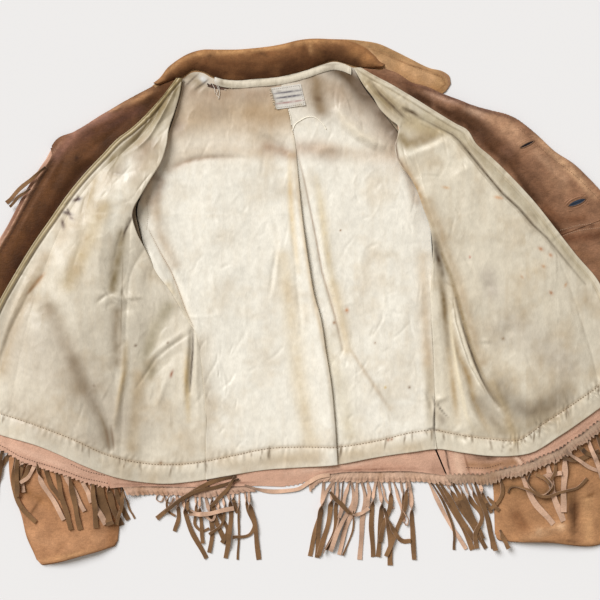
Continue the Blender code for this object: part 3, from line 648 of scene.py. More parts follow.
rise = np.sin(np.pi * np.linspace(0.0, 1, COLLAR_ROWS))[:, None] ** 0.8
stand_z = 2 * DOUBLE_LEATHER + LAYER + STAND_ROLL * rise + 0.5 * rumple(stand, 14, 8)
stand_z = stand_z + creased(stand, STAND_CREASES) * rise
stand_top = turned_under(np.dstack([stand, stand_z]), "top", FOLD_ROUND, STAND_TURN)
collar_stand = shell("collar_stand_skin", stand_top, hair_side, painted(stand_top, "845b38", STAND_TONES_AND_PAINTED_LIGHT),
                     ["collar_stand"])
threads("leaf_topstitch", stitch_lines([LEAF_STITCH], [collar_fall]), 0.28, thread, "a5835c")

# ---------------------------------------------------------------- leather body

# The back and the two fronts are cut from soft buckskin, flesh side in. The linings hide them down to the hem,
# where the pale flesh side shows with its pinked edge and rows of stitching. The front edges are folded under.

ROWS = 14
UNDERARM_ROW = {"left": 6, "right": 8}
OUTWARDS = {"left": -1, "right": 1}
BACK_ARMHOLE = {
    "left": [(-164, 312), (-167, 293), (-175, 264), (-203, 190), (-222, 150), (-229, 127), (-225, 100),
             (-217.7, 71)],
    "right": [(75, 327), (90, 298), (103, 281), (150, 215), (178, 140), (187, 52)],
}
SIDE_SEAM = {
    "left": [(-217.7, 71), (-200, 36), (-183, 14), (-166, -14), (-152, -37), (-148, -43), (-141, -70),
             (-136, -109), (-133, -147), (-132, -182), (-132, -214), (-132, -251)],
    "right": [(187, 52), (184, 0), (187, -80), (189, -132), (189, -185), (192, -209)],
}
BACK_NECK = [(75, 326.5), (60, 332), (49, 335), (31, 330), (11, 322), (-15, 315), (-28, 311), (-64, 308),
             (-91, 306), (-109, 308), (-125, 313), (-136, 319), (-151, 320), (-164, 312)]
LEATHER_HEM_BACK = [(208, -248), (161, -242), (106, -242), (60, -243), (27, -249), (0, -260), (-64, -262),
                    (-129, -264)]
NECK_SHARE = 0.44
NECK_GAP = 0.002
PLEAT_EDGE = [(-28, 313), (-17, 269), (-9, 231), (-3, 168), (3, 110), (11, 53), (20, 3), (27, -21), (35, -70),
              (43, -120), (48, -171), (52, -231)]
PLEAT_UNDER = 14.0
PLEAT_STARTS, PLEAT_OPEN = 0.19, 0.81
LINING_LEFT = [(-100, 310), (-112, 200), (-112, 60), (-95, -60), (-84, -160), (-80, -243)]
LINING_RIGHT = [(30, 332), (65, 220), (95, 100), (105, -30), (112, -130), (120, -219)]

flesh_side = buckskin("smoked_buckskin_flesh_side", 1.4, 0.45, 0.92, 0.15, 0.07)
FLESH = "c9a088"
HAIR = "9a6f47"


def side_line(side, armhole, gap=0.0):
    """A panel's side: its own armhole down to the underarm, then the side seam, a gap outside the back's."""
    upper, seam = smooth_line(armhole), smooth_line(SIDE_SEAM[side])
    underarm = UNDERARM_ROW[side] / ROWS
    shift = np.array([OUTWARDS[side] * gap, 0])

    def at(t):
        t = np.asarray(t, float)
        below = seam((t - underarm) / (1 - underarm)) + shift
        return np.where((t < underarm)[..., None], upper(t / underarm), below)

    return at


def ruled(lines, t, columns, crowding=1.0):
    """Rows of flat points at shares t, on straight sections between neighbouring lines, with a number of
    columns for each bay. Above 1, crowding draws the last bay's columns together at its end."""
    marks = [line(t) for line in lines]
    counts = columns if isinstance(columns, list) else [columns] * (len(lines) - 1)
    parts = [marks[0][:, None]]
    for bay, (start, end, count) in enumerate(zip(marks, marks[1:], counts)):
        u = (np.arange(count) + 1)[None, :, None] / count
        u = 1 - (1 - u) ** crowding if bay == len(counts) - 1 else u
        parts.append(start[:, None] * (1 - u) + end[:, None] * u)
    return np.concatenate(parts, axis=1)


pleat = smooth_line(PLEAT_EDGE)
neck = smooth_line(BACK_NECK)
side_lines = {side: side_line(side, armhole) for side, armhole in BACK_ARMHOLE.items()}


def pleat_under(t):
    """The edge of the right half: beside the pleat at the neck, under it further down."""
    under = ramp((t - PLEAT_STARTS) / (PLEAT_OPEN - PLEAT_STARTS))
    return pleat(t) + np.stack([SEAM - (PLEAT_UNDER + SEAM) * under, 0 * under], -1)


def half_back(lines, t, columns, neck_from, neck_to):
    """Flat points of half the back, whose first row follows the neck."""
    flat = ruled(lines, t, columns)
    at_neck = neck(np.linspace(neck_from, neck_to, flat.shape[1]))
    fade = np.clip(1 - t * ROWS, 0, 1)[:, None, None]
    return flat + (at_neck - flat[:1]) * fade


# Each leather is a fine grid. Its columns are numbered as the solids' are, LEATHER_COLUMNS to one of theirs.
LEATHER_COLUMNS = 28
BODY_ROWS = 44
BAND_ROWS = 7
TOOTH = 6.4
TOOTH_DEPTH = 4.0
TOOTH_ROWS = 4
BACK_PINKING, BACK_TOOTH_DEPTH = (0.53, 0.68), 2.0
right_of_pleat = [side_lines["right"], smooth_line(LINING_RIGHT), pleat]
left_of_pleat = [pleat, smooth_line(LINING_LEFT), side_lines["left"]]


def pinked(row, first, last, pitch, depth):
    """How far out each point of an edge goes for teeth between two shares of its length."""
    travel = travelled(row[:, :2])
    share = travel / travel[-1]
    tooth = 1 - 2 * np.abs((travel / pitch) % 1 - 0.5)
    return np.where((share >= first) & (share <= last), depth * (tooth - 1), 0)


def hem_band(above, hem):
    """Rows of flat points from the last body row down to the hem."""
    down = (np.arange(BAND_ROWS) + 1)[:, None, None] / BAND_ROWS
    return above[None] * (1 - down) + hem[None] * down


def edge_shares(t):
    """Shares of a front's edge for its body rows and then its hem band."""
    return np.concatenate([t * HEM_SHARE, np.linspace(HEM_SHARE, 1, BAND_ROWS + 1)[1:]])


def slanted(points, rows, reach):
    """The grid with its last rows stretched out or drawn in, so that its end moves by `reach` along them."""
    weight = np.linspace(0, 1, rows)[:, None, None]
    made = points.copy()
    made[-rows:] += weight * reach[None, :, None] * unit(points[-1] - points[-rows])[None]
    return made


t = np.linspace(0, 1, BODY_ROWS)
half = 3 * LEATHER_COLUMNS
right_half = half_back(right_of_pleat, t, half, 0, NECK_SHARE)
left_half = half_back(left_of_pleat, t, half, NECK_SHARE, 1)
back_flat = np.concatenate([right_half, left_half[:, 1:]], axis=1)
back_hem = smooth_line(LEATHER_HEM_BACK)(np.linspace(0, 1, back_flat.shape[1]))
back_flat = np.concatenate([back_flat, hem_band(back_flat[-1], back_hem)])
back_flat = slanted(back_flat, TOOTH_ROWS, pinked(back_flat[-1], *BACK_PINKING, TOOTH, BACK_TOOTH_DEPTH))
HEM_STITCH_DARK = "6d4030"
BACK_MARKS_AND_PAINTED_SHADE = [
    (HEM_STITCH_DARK, [(208, -245), (161, -239), (106, -239), (60, -240), (27, -244)], 1.3, 0.75),
    (HEM_STITCH_DARK, [(-157, -261), (-129, -261), (-90, -258), (-64, -257)], 1.3, 0.6),
    ("b98a72", [(160, -236), (106, -235), (60, -236)], 5, 0.6),
    ("dcb9a2", [(100, -230), (60, -232), (20, -238), (-20, -246)], 4, 0.7),
    # Painted shade: the leather seen through the tear, and the gap at the side seam's end.
    ("3d2a24", [(-133, 302), (-115, 299), (-97, 299)], 9, 0.9),
    ("8a6450", [(200, -240), (192, -240)], 9, 0.6),
]
back_grid = np.dstack([back_flat, over_collar(back_flat)])
back_leather = shell("back_skin", back_grid, flesh_side, painted(back_grid, FLESH, BACK_MARKS_AND_PAINTED_SHADE),
                     ["back_leather"], wall=LEATHER, under=HAIR)

# armhole: shoulder seam and folded armhole edge, to the underarm.  folds: the lining's long soft folds.
# facing: the seam of lining and facing.  edge: the roll line down to the break, then the edge.
FRONTS = {
    "left": {
        "armhole": [(-166, 311), (-169, 293), (-177, 264), (-184, 244), (-188, 217), (-194, 197), (-211, 168),
                    (-221, 151), (-235, 121), (-230, 97), (-218, 71)],
        "folds": [
            [(-168, 311), (-176, 290), (-188, 262), (-201, 225), (-219, 185), (-240, 145), (-251, 84),
             (-256, 24), (-252, -40), (-253, -90), (-258, -175), (-259, -248)],
            [(-169, 311), (-186, 290), (-206, 262), (-228, 232), (-250, 198), (-272, 160), (-296, 110),
             (-312, 50), (-322, -20), (-327, -90), (-328, -160), (-326, -220)],
        ],
        "facing": [(-170, 311), (-210, 263), (-237, 237), (-253, 225), (-273, 204), (-300, 176), (-326, 144),
                   (-344, 118), (-375, 73), (-400, 32), (-420, -4), (-440, -49), (-459, -105), (-473, -181)],
        "edge": [(-204, 298), (-239, 280), (-280, 256), (-307, 239), (-318, 233), (-337, 226), (-357, 195),
                 (-367, 181), (-384, 153), (-413, 98), (-432, 68), (-451, 35), (-479, -25), (-501, -87),
                 (-515, -140), (-521, -172)],
        "hem": [(-130, -264), (-185, -263), (-249, -263), (-276, -264), (-300, -258), (-332, -246),
                (-358, -238), (-393, -227), (-420, -213), (-476, -193)],
        "break": 0.26,
        "pinking": (0.34, 1.0),
    },
    "right": {
        "armhole": [(76, 326), (92, 299), (105, 282), (112, 270), (129, 252), (139, 243), (138, 230),
                    (134, 217), (137, 197), (144, 183), (151, 176), (164, 153), (172, 130), (181, 105),
                    (186, 80), (187.3, 52)],
        "folds": [
            [(78, 326), (98, 301), (114, 286), (132, 270), (148, 255), (154, 235), (153, 212), (162, 186),
             (172, 168), (182, 138), (190, 104), (203, 52), (220, 0), (232, -53), (255, -105), (278, -150),
             (300, -217)],
            [(80, 326), (104, 305), (134, 284), (168, 262), (196, 236), (218, 202), (242, 160), (267, 110),
             (292, 60), (320, 5), (345, -50), (362, -110), (371, -184)],
        ],
        "facing": [(82, 326), (97, 316), (123, 302), (150, 286), (176, 270), (200, 255), (217, 245),
                   (232, 237), (245, 217), (266, 199), (304, 161), (330, 132), (357, 98), (384, 64),
                   (419, 22), (437, -30), (446, -80), (451, -131)],
        "edge": [(116, 322), (132, 317), (157, 302), (176, 297), (196, 288), (217, 280), (244, 270),
                 (270, 263), (290, 258), (303, 252), (318, 241), (330, 231), (357, 206), (384, 188),
                 (405, 168), (424, 148), (448, 119), (479, 63), (501, 0), (515, -56), (521, -104)],
        "hem": [(209, -248), (238, -247), (262, -246), (288, -237), (312, -232), (329, -224), (356, -213),
                (378, -200), (420, -171), (458, -148)],
        "break": 0.36,
        "pinking": (0.0, 1.0),
    },
}
EDGE_LIFT = 5.4
TURN_MARGIN = 12.0
BUTTON_ROOM = 34.0
EDGE_SLOPE = 34.0
ROLL = 1.0
TURNED_EDGE, TURNED_LAPEL = 6.0, 34.0
FOLD_ANGLES = (72, 50, 30, 10, -10, -30, -50, -72, -90)
HEM_SHARE = 0.965
SIDE_LAP = 3.0

for front in FRONTS.values():
    front["edge_line"] = smooth_line(front["edge"])
    front["edge_spots"] = samples(front["edge_line"])


def turned(side, t):
    """How far the facing goes under the edge at t."""
    share = np.minimum(t / FRONTS[side]["break"], 1)
    return TURNED_EDGE + TURNED_LAPEL * np.sin(np.pi * share)


def front_height(side, spots):
    """Height of a front's leather over the surface, the sleeve, its own turned edge and the collar's fall."""
    away, along, _ = course(FRONTS[side]["edge_spots"], spots)
    level = np.maximum(turned(side, along) + TURN_MARGIN, BUTTON_ROOM)
    rim = EDGE_LIFT * (1 - ramp((away - level) / EDGE_SLOPE))
    return (rim**3 + over_sleeve(side, spots) ** 3) ** (1 / 3) + over_collar(spots)


def outwards(side, t):
    """The way straight out of a front's edge at t."""
    line = FRONTS[side]["edge_line"]
    step = line(t + 0.01) - line(t - 0.01)
    return unit(np.stack([step[..., 1], -step[..., 0]], -1)) * -OUTWARDS[side]


def folded_edge(side, grid, t, facing_columns):
    """The rest of a front beyond the facing's seam: across to its edge and round under it."""
    edge, away = FRONTS[side]["edge_line"](t), outwards(side, t)
    u = (np.arange(facing_columns) + 1)[None, :, None] / facing_columns
    seam = grid[:, -1:, :2]
    flat = seam * (1 - u) + edge[:, None] * u
    across = np.dstack([flat, front_height(side, flat)])
    crest = across[:, -1]
    bend = rounded(crest, np.column_stack([away, np.zeros(len(t))]), ROLL, FOLD_ANGLES)
    inner = edge - away * turned(side, t)[:, None]
    last = np.column_stack([inner, front_height(side, inner) - 2 * ROLL])
    steps = np.array([0.25, 0.5, 0.75, 1.0])[None, :, None]
    under = bend[-1][:, None] * (1 - steps) + last[:, None] * steps
    return np.concatenate([across, np.stack(bend, 1), under], axis=1)


def front_lines(side):
    """The lines down a front from its side to the facing's seam."""
    front = FRONTS[side]
    return [side_line(side, front["armhole"], SEAM), *map(smooth_line, [*front["folds"], front["facing"]])]


def front_flat(side, rows, columns):
    """Flat points of a front from its side to the facing's seam, down to the leather hem, and each row's share
    of the front edge."""
    t = np.linspace(0, 1, rows)
    flat = ruled(front_lines(side), t, columns)
    hem = smooth_line(FRONTS[side]["hem"])(np.linspace(0, 1, flat.shape[1]))
    flat = np.concatenate([flat, hem_band(flat[-1], hem)])
    flat[-BAND_ROWS - 1 :, 0, 0] -= OUTWARDS[side] * SIDE_LAP
    return flat, edge_shares(t)


FRONT_MARKS_AND_PAINTED_LIGHT = {
    "left": [
        (HEM_STITCH_DARK, [(-157, -261), (-185, -260), (-230, -260), (-262, -259)], 1.3, 0.75),
        ("a87e68", [(-420, -207), (-380, -222), (-340, -236), (-300, -250), (-278, -258)], 1.6, 0.55),
        ("dab49c", [(-420, -200), (-380, -214), (-340, -229), (-300, -244)], 4, 0.6),
        ("b98d76", [(-270, -250), (-266, -264)], 3, 0.7),
        ("7a5a48", [(-145, -262), (-138, -262)], 3, 0.7),
        ("8a6450", [(-367, 181), (-384, 153), (-413, 98), (-432, 68), (-451, 35), (-479, -25),
                    (-501, -87)], 7, 0.95),
    ],
    "right": [
        (HEM_STITCH_DARK, [(209, -245), (238, -246), (262, -245), (288, -236), (312, -231), (329, -223),
                           (356, -212), (378, -199), (420, -170)], 1.3, 0.75),
        # Painted shadow under the lining's hem, fading below it.
        ("9a7355", [(240, -232), (270, -234), (302, -226)], 9, 0.9),
        ("5f4432", [(238, -219), (262, -221), (282, -220)], 6, 0.9),
        ("dab69c", [(220, -212), (223, -232), (229, -248)], 7, 0.85),
        ("7a5138", [(231, -214), (235, -230), (240, -246)], 1.3, 0.8),
        ("3f2b20", [(203, -206), (207, -218), (209, -233), (214, -251)], 1.5, 0.95),
        # A painted highlight on a small fold, with painted shade beside it.
        ("e6c6ae", [(299, -217), (306, -224), (312, -231)], 2.4, 0.9),
        ("6d4a36", [(303, -216), (310, -223), (316, -229)], 1.2, 0.8),
        ("a87e66", [(340, -212), (378, -192), (420, -163)], 3, 0.5),
    ],
}
front_leather = {}
front_grids = {}
for side, front in FRONTS.items():
    flat, shares = front_flat(side, BODY_ROWS, half)
    inside = np.dstack([flat, front_height(side, flat)])
    grid = np.concatenate([inside, folded_edge(side, flat, shares, half)], axis=1)
    teeth = pinked(grid[-1, : 4 * half + 1], *front["pinking"], TOOTH, TOOTH_DEPTH)
    teeth = np.concatenate([teeth, np.zeros(grid.shape[1] - len(teeth))])
    grid = slanted(grid, TOOTH_ROWS, teeth)
    front_grids[side] = grid
    front_leather[side] = shell(f"front_{side}_skin", grid, flesh_side, painted(grid, FLESH, FRONT_MARKS_AND_PAINTED_LIGHT[side]),
                                [f"front_leather_{side}"], wall=LEATHER, under=HAIR)

# ---------------------------------------------------------------- front facings

# Strips of the same skin, hair side up, dark and polished by years of wear. The left one ends short of its
# edge below the break, so that the front's own edge shows. The right one is pieced, and has the buttonholes.

facing_skin = buckskin("handled_buckskin_facing", 1.6, 0.45, 0.58, 0.02, 0.17)
ON_LEATHER = LEATHER + LAYER
PIECING_ROW = 9
PIECING_SLANT, PIECING_REACH = 0.042, 0.16
PIECING_LAP = np.array([0.2, 0.6, 1.0])
SHORT_OVER = 0.03
FACING_WAVES = [(0.35, 16, 21)]
EDGE_SHOWS = 3.4
FACING_ROWS, FACING_COLUMNS = 170, 44
FACING_UNDER = 10
FACING_CREASES = {
    "left": [
        ([(-204, 292), (-240, 272), (-290, 243), (-318, 228)], 1.2, 5, 6),
        ([(-230, 262), (-262, 236), (-300, 205)], -0.8, 5, 5),
        ([(-318, 226), (-330, 200), (-350, 150)], -0.9, 6, 6),
        ([(-360, 186), (-392, 136), (-424, 78), (-446, 38)], -0.9, 3, 3),
        ([(-330, 215), (-338, 196)], -0.7, 5, 5),
        ([(-372, 140), (-395, 95), (-425, 30)], 0.7, 9, 9),
    ],
    "right": [
        ([(150, 302), (196, 284), (244, 266), (290, 253)], -0.8, 3, 3),
        ([(303, 247), (330, 222), (357, 198), (384, 178), (420, 145)], -0.7, 2.5, 2.5),
        ([(296, 250), (290, 222), (268, 205)], -1.0, 6, 8),
        ([(316, 242), (306, 215), (290, 190)], 0.9, 8, 8),
        ([(225, 268), (240, 250), (252, 236)], -0.8, 5, 5),
        ([(372, 182), (358, 158), (340, 135)], -0.7, 6, 6),
        ([(180, 290), (186, 276)], -0.6, 5, 5),
    ],
}
FACING_GROUND, FACING_FLESH = {"left": "5f3c20", "right": "88634a"}, "c99f86"
# The facings' tones, darker towards the lining seam, with painted highlights along the roll and outer edges and
# lines of painted shade beside them.
FACING_TONES_AND_PAINTED_LIGHT = {
    "left": [
        ("442810", [(-206, 284), (-250, 244), (-290, 200), (-330, 152), (-366, 100), (-404, 34)], 13, 0.9),
        ("3f210c", [(-300, 186), (-340, 140), (-376, 92), (-410, 30)], 9, 0.6),
        ("5d3c2c", [(-226, 268), (-258, 250), (-292, 236), (-316, 222)], 8, 0.8),
        ("7e5744", [(-230, 274), (-262, 258), (-296, 242)], 4, 0.7),
        ("a97c55", [(-204, 296), (-224, 284), (-246, 274)], 5, 0.8),
        ("b48a68", [(-236, 281), (-262, 267), (-292, 251), (-322, 231)], 2, 0.8),
        ("94684c", [(-318, 229), (-332, 222), (-346, 204)], 5, 0.8),
        ("2f180a", [(-314, 199)], 3.5, 0.9),
        ("c29a80", [(-336, 222), (-350, 202), (-364, 180), (-389, 136), (-409, 98), (-432, 60),
                    (-456, 20)], 1.7, 0.9),
        ("38200f", [(-334, 214), (-348, 196), (-361, 175), (-385, 132), (-405, 94), (-428, 56),
                    (-450, 16)], 1.8, 0.8),
        ("7c573e", [(-330, 208), (-343, 190), (-356, 169), (-380, 126), (-400, 88)], 2.2, 0.6),
        ("8b6352", [(-342, 202), (-322, 228), (-300, 247), (-272, 260)], 8, 0.75),
        ("7a4f30", [(-282, 222), (-306, 196)], 6, 0.4),
        ("6b4224", [(-240, 250), (-262, 232)], 6, 0.4),
    ],
    "right": [
        ("4a2b18", [(222, 262), (262, 226), (300, 196), (330, 160)], 10, 0.7),
        ("472b17", [(150, 294), (190, 271), (222, 255), (246, 240), (262, 220), (285, 203), (306, 180),
                    (322, 152),
                    (348, 118), (364, 96)], 8, 0.95),
        ("5a3b25", [(232, 258), (258, 240), (278, 217), (300, 198)], 9, 0.8),
        ("6a4731", [(100, 318), (130, 307), (160, 299)], 7, 0.8),
        ("ae8b75", [(176, 292), (205, 281), (228, 275)], 4, 0.85),
        ("cda88d", [(232, 270), (250, 263), (266, 257)], 5, 0.85),
        ("bb9272", [(268, 256), (290, 247), (304, 238)], 8, 0.8),
        ("583a31", [(150, 305), (186, 293), (217, 281), (246, 270), (290, 258), (304, 252)], 1.8, 0.85),
        ("b68f70", [(286, 240), (302, 228), (312, 222)], 8, 0.6),
        ("75523d", [(276, 216), (292, 207), (300, 200)], 6, 0.7),
        ("cba37e", [(331, 231), (360, 202), (388, 174), (414, 146)], 6, 0.85),
        ("b18a6c", [(332, 208), (350, 190), (372, 170)], 8, 0.75),
        ("7a563e", [(312, 184), (334, 160), (354, 140)], 9, 0.8),
        ("9f795c", [(355, 168), (374, 156)], 8, 0.6),
        ("714c34", [(345, 130), (366, 112), (398, 114)], 8, 0.8),
        ("66412a", [(370, 86), (395, 88), (424, 92)], 8, 0.8),
        ("7a563c", [(392, 70), (420, 50)], 10, 0.6),
        ("4f3220", [(366, 95), (390, 101.5), (424, 106)], 1.2, 0.9),
        ("5f3d28", [(425, 20), (440, -20), (448, -80)], 8, 0.6),
    ],
}


def walked(points, ends, count):
    """Each row of a grid walked from its start to its own end length in even steps."""
    made = np.empty((len(points), count, 3))
    for r, (row, end) in enumerate(zip(points, ends)):
        travel = travelled(row)
        made[r] = walk(row, travel, np.linspace(0, min(end, travel[-1]), count))
    return made


facings = {}
for side, front in FRONTS.items():
    t = np.linspace(0, 1, FACING_ROWS)
    raised_by = PIECING_SLANT * bell(t - PIECING_ROW / ROWS, PIECING_REACH) * (side == "right")
    seam = smooth_line(front["facing"])(t - raised_by)
    hem_end = np.array(front["hem"][-1], float)
    t_all = edge_shares(t)
    seam = np.concatenate([seam, hem_band(seam[-1:], hem_end[None])[:, 0]])
    seam = np.column_stack([seam, front_height(side, seam)])[:, None]
    section = np.concatenate([seam, folded_edge(side, seam, t_all, 3 * FACING_UNDER)], axis=1)
    out = normals(section)
    if out[:, 5, 2].sum() < 0:
        out = -out
    section = section + out * ON_LEATHER
    lengths = np.linalg.norm(np.diff(section, axis=1), axis=-1)
    to_edge = lengths[:, : 3 * FACING_UNDER].sum(1)
    short = ramp((t_all - front["break"] - 0.01) / SHORT_OVER) * (side == "left")
    ends = lengths.sum(1) * (1 - short) + (to_edge - EDGE_SHOWS) * short
    facing = walked(section, ends, FACING_COLUMNS)
    facing[..., 2] += creased(facing, FACING_CREASES[side]) + waves(facing, FACING_WAVES)
    colours = painted(facing, FACING_GROUND[side], FACING_TONES_AND_PAINTED_LIGHT[side])
    split = round(PIECING_ROW / ROWS * (FACING_ROWS - 1))
    spans = {"right_upper": np.s_[: split + 1], "right_lower": np.s_[split:]}
    facings[side] = []
    for name, span in spans.items() if side == "right" else [("left", np.s_[:])]:
        part = facing[span].copy()
        if name == "right_upper":
            part[-3:, :, 2] += PIECING_LAP[:, None]
        made = shell(f"facing_{name}_skin", part, facing_skin, colours[span], [f"facing_{name}"],
                     wall=LEATHER, under=FACING_FLESH)
        facings[side].append(made)

# ---------------------------------------------------------------- satin linings

# Cream acetate satin, yellowed and creased by wear and an old soaking. The fronts fold over at the armholes,
# the back has an ease pleat down the middle, and the hem is turned up and stitched short of its edge, so it
# puckers.


def satin(name, turn):
    """Acetate satin: long floats give a soft sheen along the grain, over a crumple that never ironed out."""
    return dyed(name, [(34, EVEN, turn, "FBM", 0.04, 0), (22, (1, 0.6, 1), turn + 0.4, CREASED, 0, 0.22),
                       (6, (1, 0.7, 1), turn, "FBM", 0.045, 0.12),
                       (1.4, (1, 0.3, 1), turn, "FBM", 0.035, 0.02)],
                Roughness=0.4, Sheen_Weight=0.05, Sheen_Roughness=0.4, Specular_IOR_Level=0.35)


def aged(colour, spots, strength, seed):
    """The colour greyed and browned in soft patches and streaks, as old satin is."""
    cloud = rumple(spots, 52, seed) + 0.6 * rumple(spots, 21, seed + 1) + 0.4 * rumple(spots, 8, seed + 2)
    streak = rumple(spots[..., :2] * np.array([1, 0.2]), 6, seed + 3)
    brown = strength * (np.clip(cloud, 0, 2) * 0.2 + np.clip(streak, 0, 1) * 0.08)
    return colour * (1 - brown[..., None] * np.array([0.6, 0.8, 1.05]))


def faded(marks):
    """The same marks, with the wide ones, which are mostly painted shade and highlights, made weaker."""
    return [(code, line, width, strength * (WIDE_STAIN_AND_SHADE if width > WIDE_MARK_WIDTH else 1))
            for code, line, width, strength in marks]


SATIN_TURNS = {"front_left": 0.35, "back_left": 0.03, "back_right": -0.05, "front_right": -0.45}
LINING_ROWS = 300
LINING_BAY = {"front_left": [64, 44, 78], "front_right": [34, 60, 84], "back_left": 62, "back_right": 62}
CROWDING = 1.35
ROLLED_EDGE = {"left": 0.8, "right": 0.7}
LINING_REST = 1.0
LINING_EASE = 1.7
FULLNESS = 1.7
LINING_HEM = [(-520, -150), (-420, -189), (-367, -203), (-326, -220), (-300, -232), (-259, -248), (-220, -256),
              (-188, -258), (-153, -255), (-98, -246), (-45, -238), (0, -235), (53, -231), (106, -221),
              (161, -213),
              (193, -209), (228, -214), (267, -218), (300, -217), (322, -213), (361, -190), (420, -151),
              (520, -85)]
HEM_ROW = [(-520, -122), (-420, -160), (-367, -176), (-312, -197), (-273, -216), (-210, -231), (-153, -230),
           (-98, -220), (-43, -209), (0, -207), (53, -207), (106, -199), (161, -186), (188, -183),
           (214, -188),
           (267, -195), (308, -195), (335, -176), (375, -150), (420, -120), (520, -55)]
hem_course = samples(smooth_line(LINING_HEM), 120)
row_course = samples(smooth_line(HEM_ROW), 120)
HEM_WARP = 0.82
HEM_ROUND = 1.1
PUCKER_PITCH = 10.0
# The stitched row's length, and where along X it is drawn in more.
ROW_LENGTH, DRAWN_FROM, DRAWN_OVER = 1200.0, 170.0, 40.0
# The height and the size across of a lining's soft waves, and how little of a dent the leather below allows.
SOFT_WAVES = [(1.3, 60), (0.7, 24), (0.2, 8)]
DENT = 0.12
HEM_TURN = 7


def to_the_hem(flat, t):
    """The grid with its lower rows stretched or drawn in, so that the last one lies on the lining's hem."""
    goal = np.interp(flat[-1, :, 0], hem_course[:, 0], hem_course[:, 1])
    weight = ramp((t - HEM_WARP) / (1 - HEM_WARP))[:, None]
    made = flat.copy()
    made[..., 1] += (goal - flat[-1, :, 1])[None] * weight
    return made


def puckered(spots):
    """The hem's stitched row pulled down, with small gathers below and above it."""
    away, along, hand = course(row_course, spots)
    wave = np.sin(2 * np.pi * (along * ROW_LENGTH + 9 * rumple(spots, 24, 31)) / PUCKER_PITCH)
    drawn = 1 + 2 * ramp((spots[..., 0] - DRAWN_FROM) / DRAWN_OVER)
    strength = drawn * np.clip(0.4 + 0.6 * rumple(spots, 22, 32), 0.05, 1)
    below = 0.75 * bell(away - 5, 6) * (hand < 0)
    above = bell(away - 4, 5) * (hand >= 0)
    row = bell(away, 1.8)
    fuller = 1.3 * bell(away - 11, 9) * (hand < 0)
    return fuller + (1.1 * below + 0.7 * above) * strength * wave * (1 - row) - 0.9 * row


# Painted shade in the hem's gathers and in the pucker at the right side seam.
TUCK_SHADE = "82725c"
SEAM_TUCK_SHADES = [("574d42", [(187, -136), (190, -150), (188, -166), (189, -206)], 1.2, 0.9),
              ("62584b", [(192, -142), (198, -154), (209, -166)], 1.2, 0.85),
              ("62584b", [(176, -184), (186, -180), (200, -186)], 1.1, 0.7),
              ("a09482", [(196, -160), (204, -176)], 6, 0.7)]


def tuck_shades(count, seed):
    """Short lines of painted shade for the gathers across the hem's row, most of them at the right, where the
    thread draws it in.
    """
    rng = np.random.default_rng(seed)
    made = list(SEAM_TUCK_SHADES)
    for place in rng.random(count) ** 0.6:
        x, y = row_course[int(place * 119)]
        lean = rng.uniform(-4, 4)
        line = [(x, y + rng.uniform(0, 4)), (x + lean, y - rng.uniform(6, 18))]
        made.append((TUCK_SHADE, line, rng.uniform(0.8, 1.6), 0.85))
    return made


def pressed_creases(spots, count, lean, seed):
    """Short sharp creases all over a lining, which lean one way and cross now and then."""
    rng = np.random.default_rng(seed)
    middles = spots.reshape(-1, 2)[rng.integers(0, spots.size // 2, count)]
    folds = []
    for middle in middles:
        turn = math.radians(lean + rng.normal(0, 26) + 80 * (rng.random() < 0.15))
        half = rng.uniform(5, 19)
        way = np.array([math.sin(turn), math.cos(turn)])
        bow = np.array([way[1], -way[0]]) * rng.uniform(-0.2, 0.2) * half
        line = [middle - way * half, middle + bow, middle + way * half]
        folds.append((line, rng.uniform(-0.5, 0.36), rng.uniform(1.3, 2.6), rng.uniform(1.3, 2.6)))
    return folds


def lining_height(base, spots, folds, seed, soft=1.0):
    """Height of a lining over its leather: its ease, its folds, its puckers, and never through the leather."""
    lift = LINING_EASE + FULLNESS * creased(spots, folds) + puckered(spots)
    lift += soft * waves(spots, [(high, wide, seed + k) for k, (high, wide) in enumerate(SOFT_WAVES)])
    lift = np.where(lift > 0, lift, DENT * np.tanh(lift))
    return base + ON_LEATHER + LINING_REST + lift


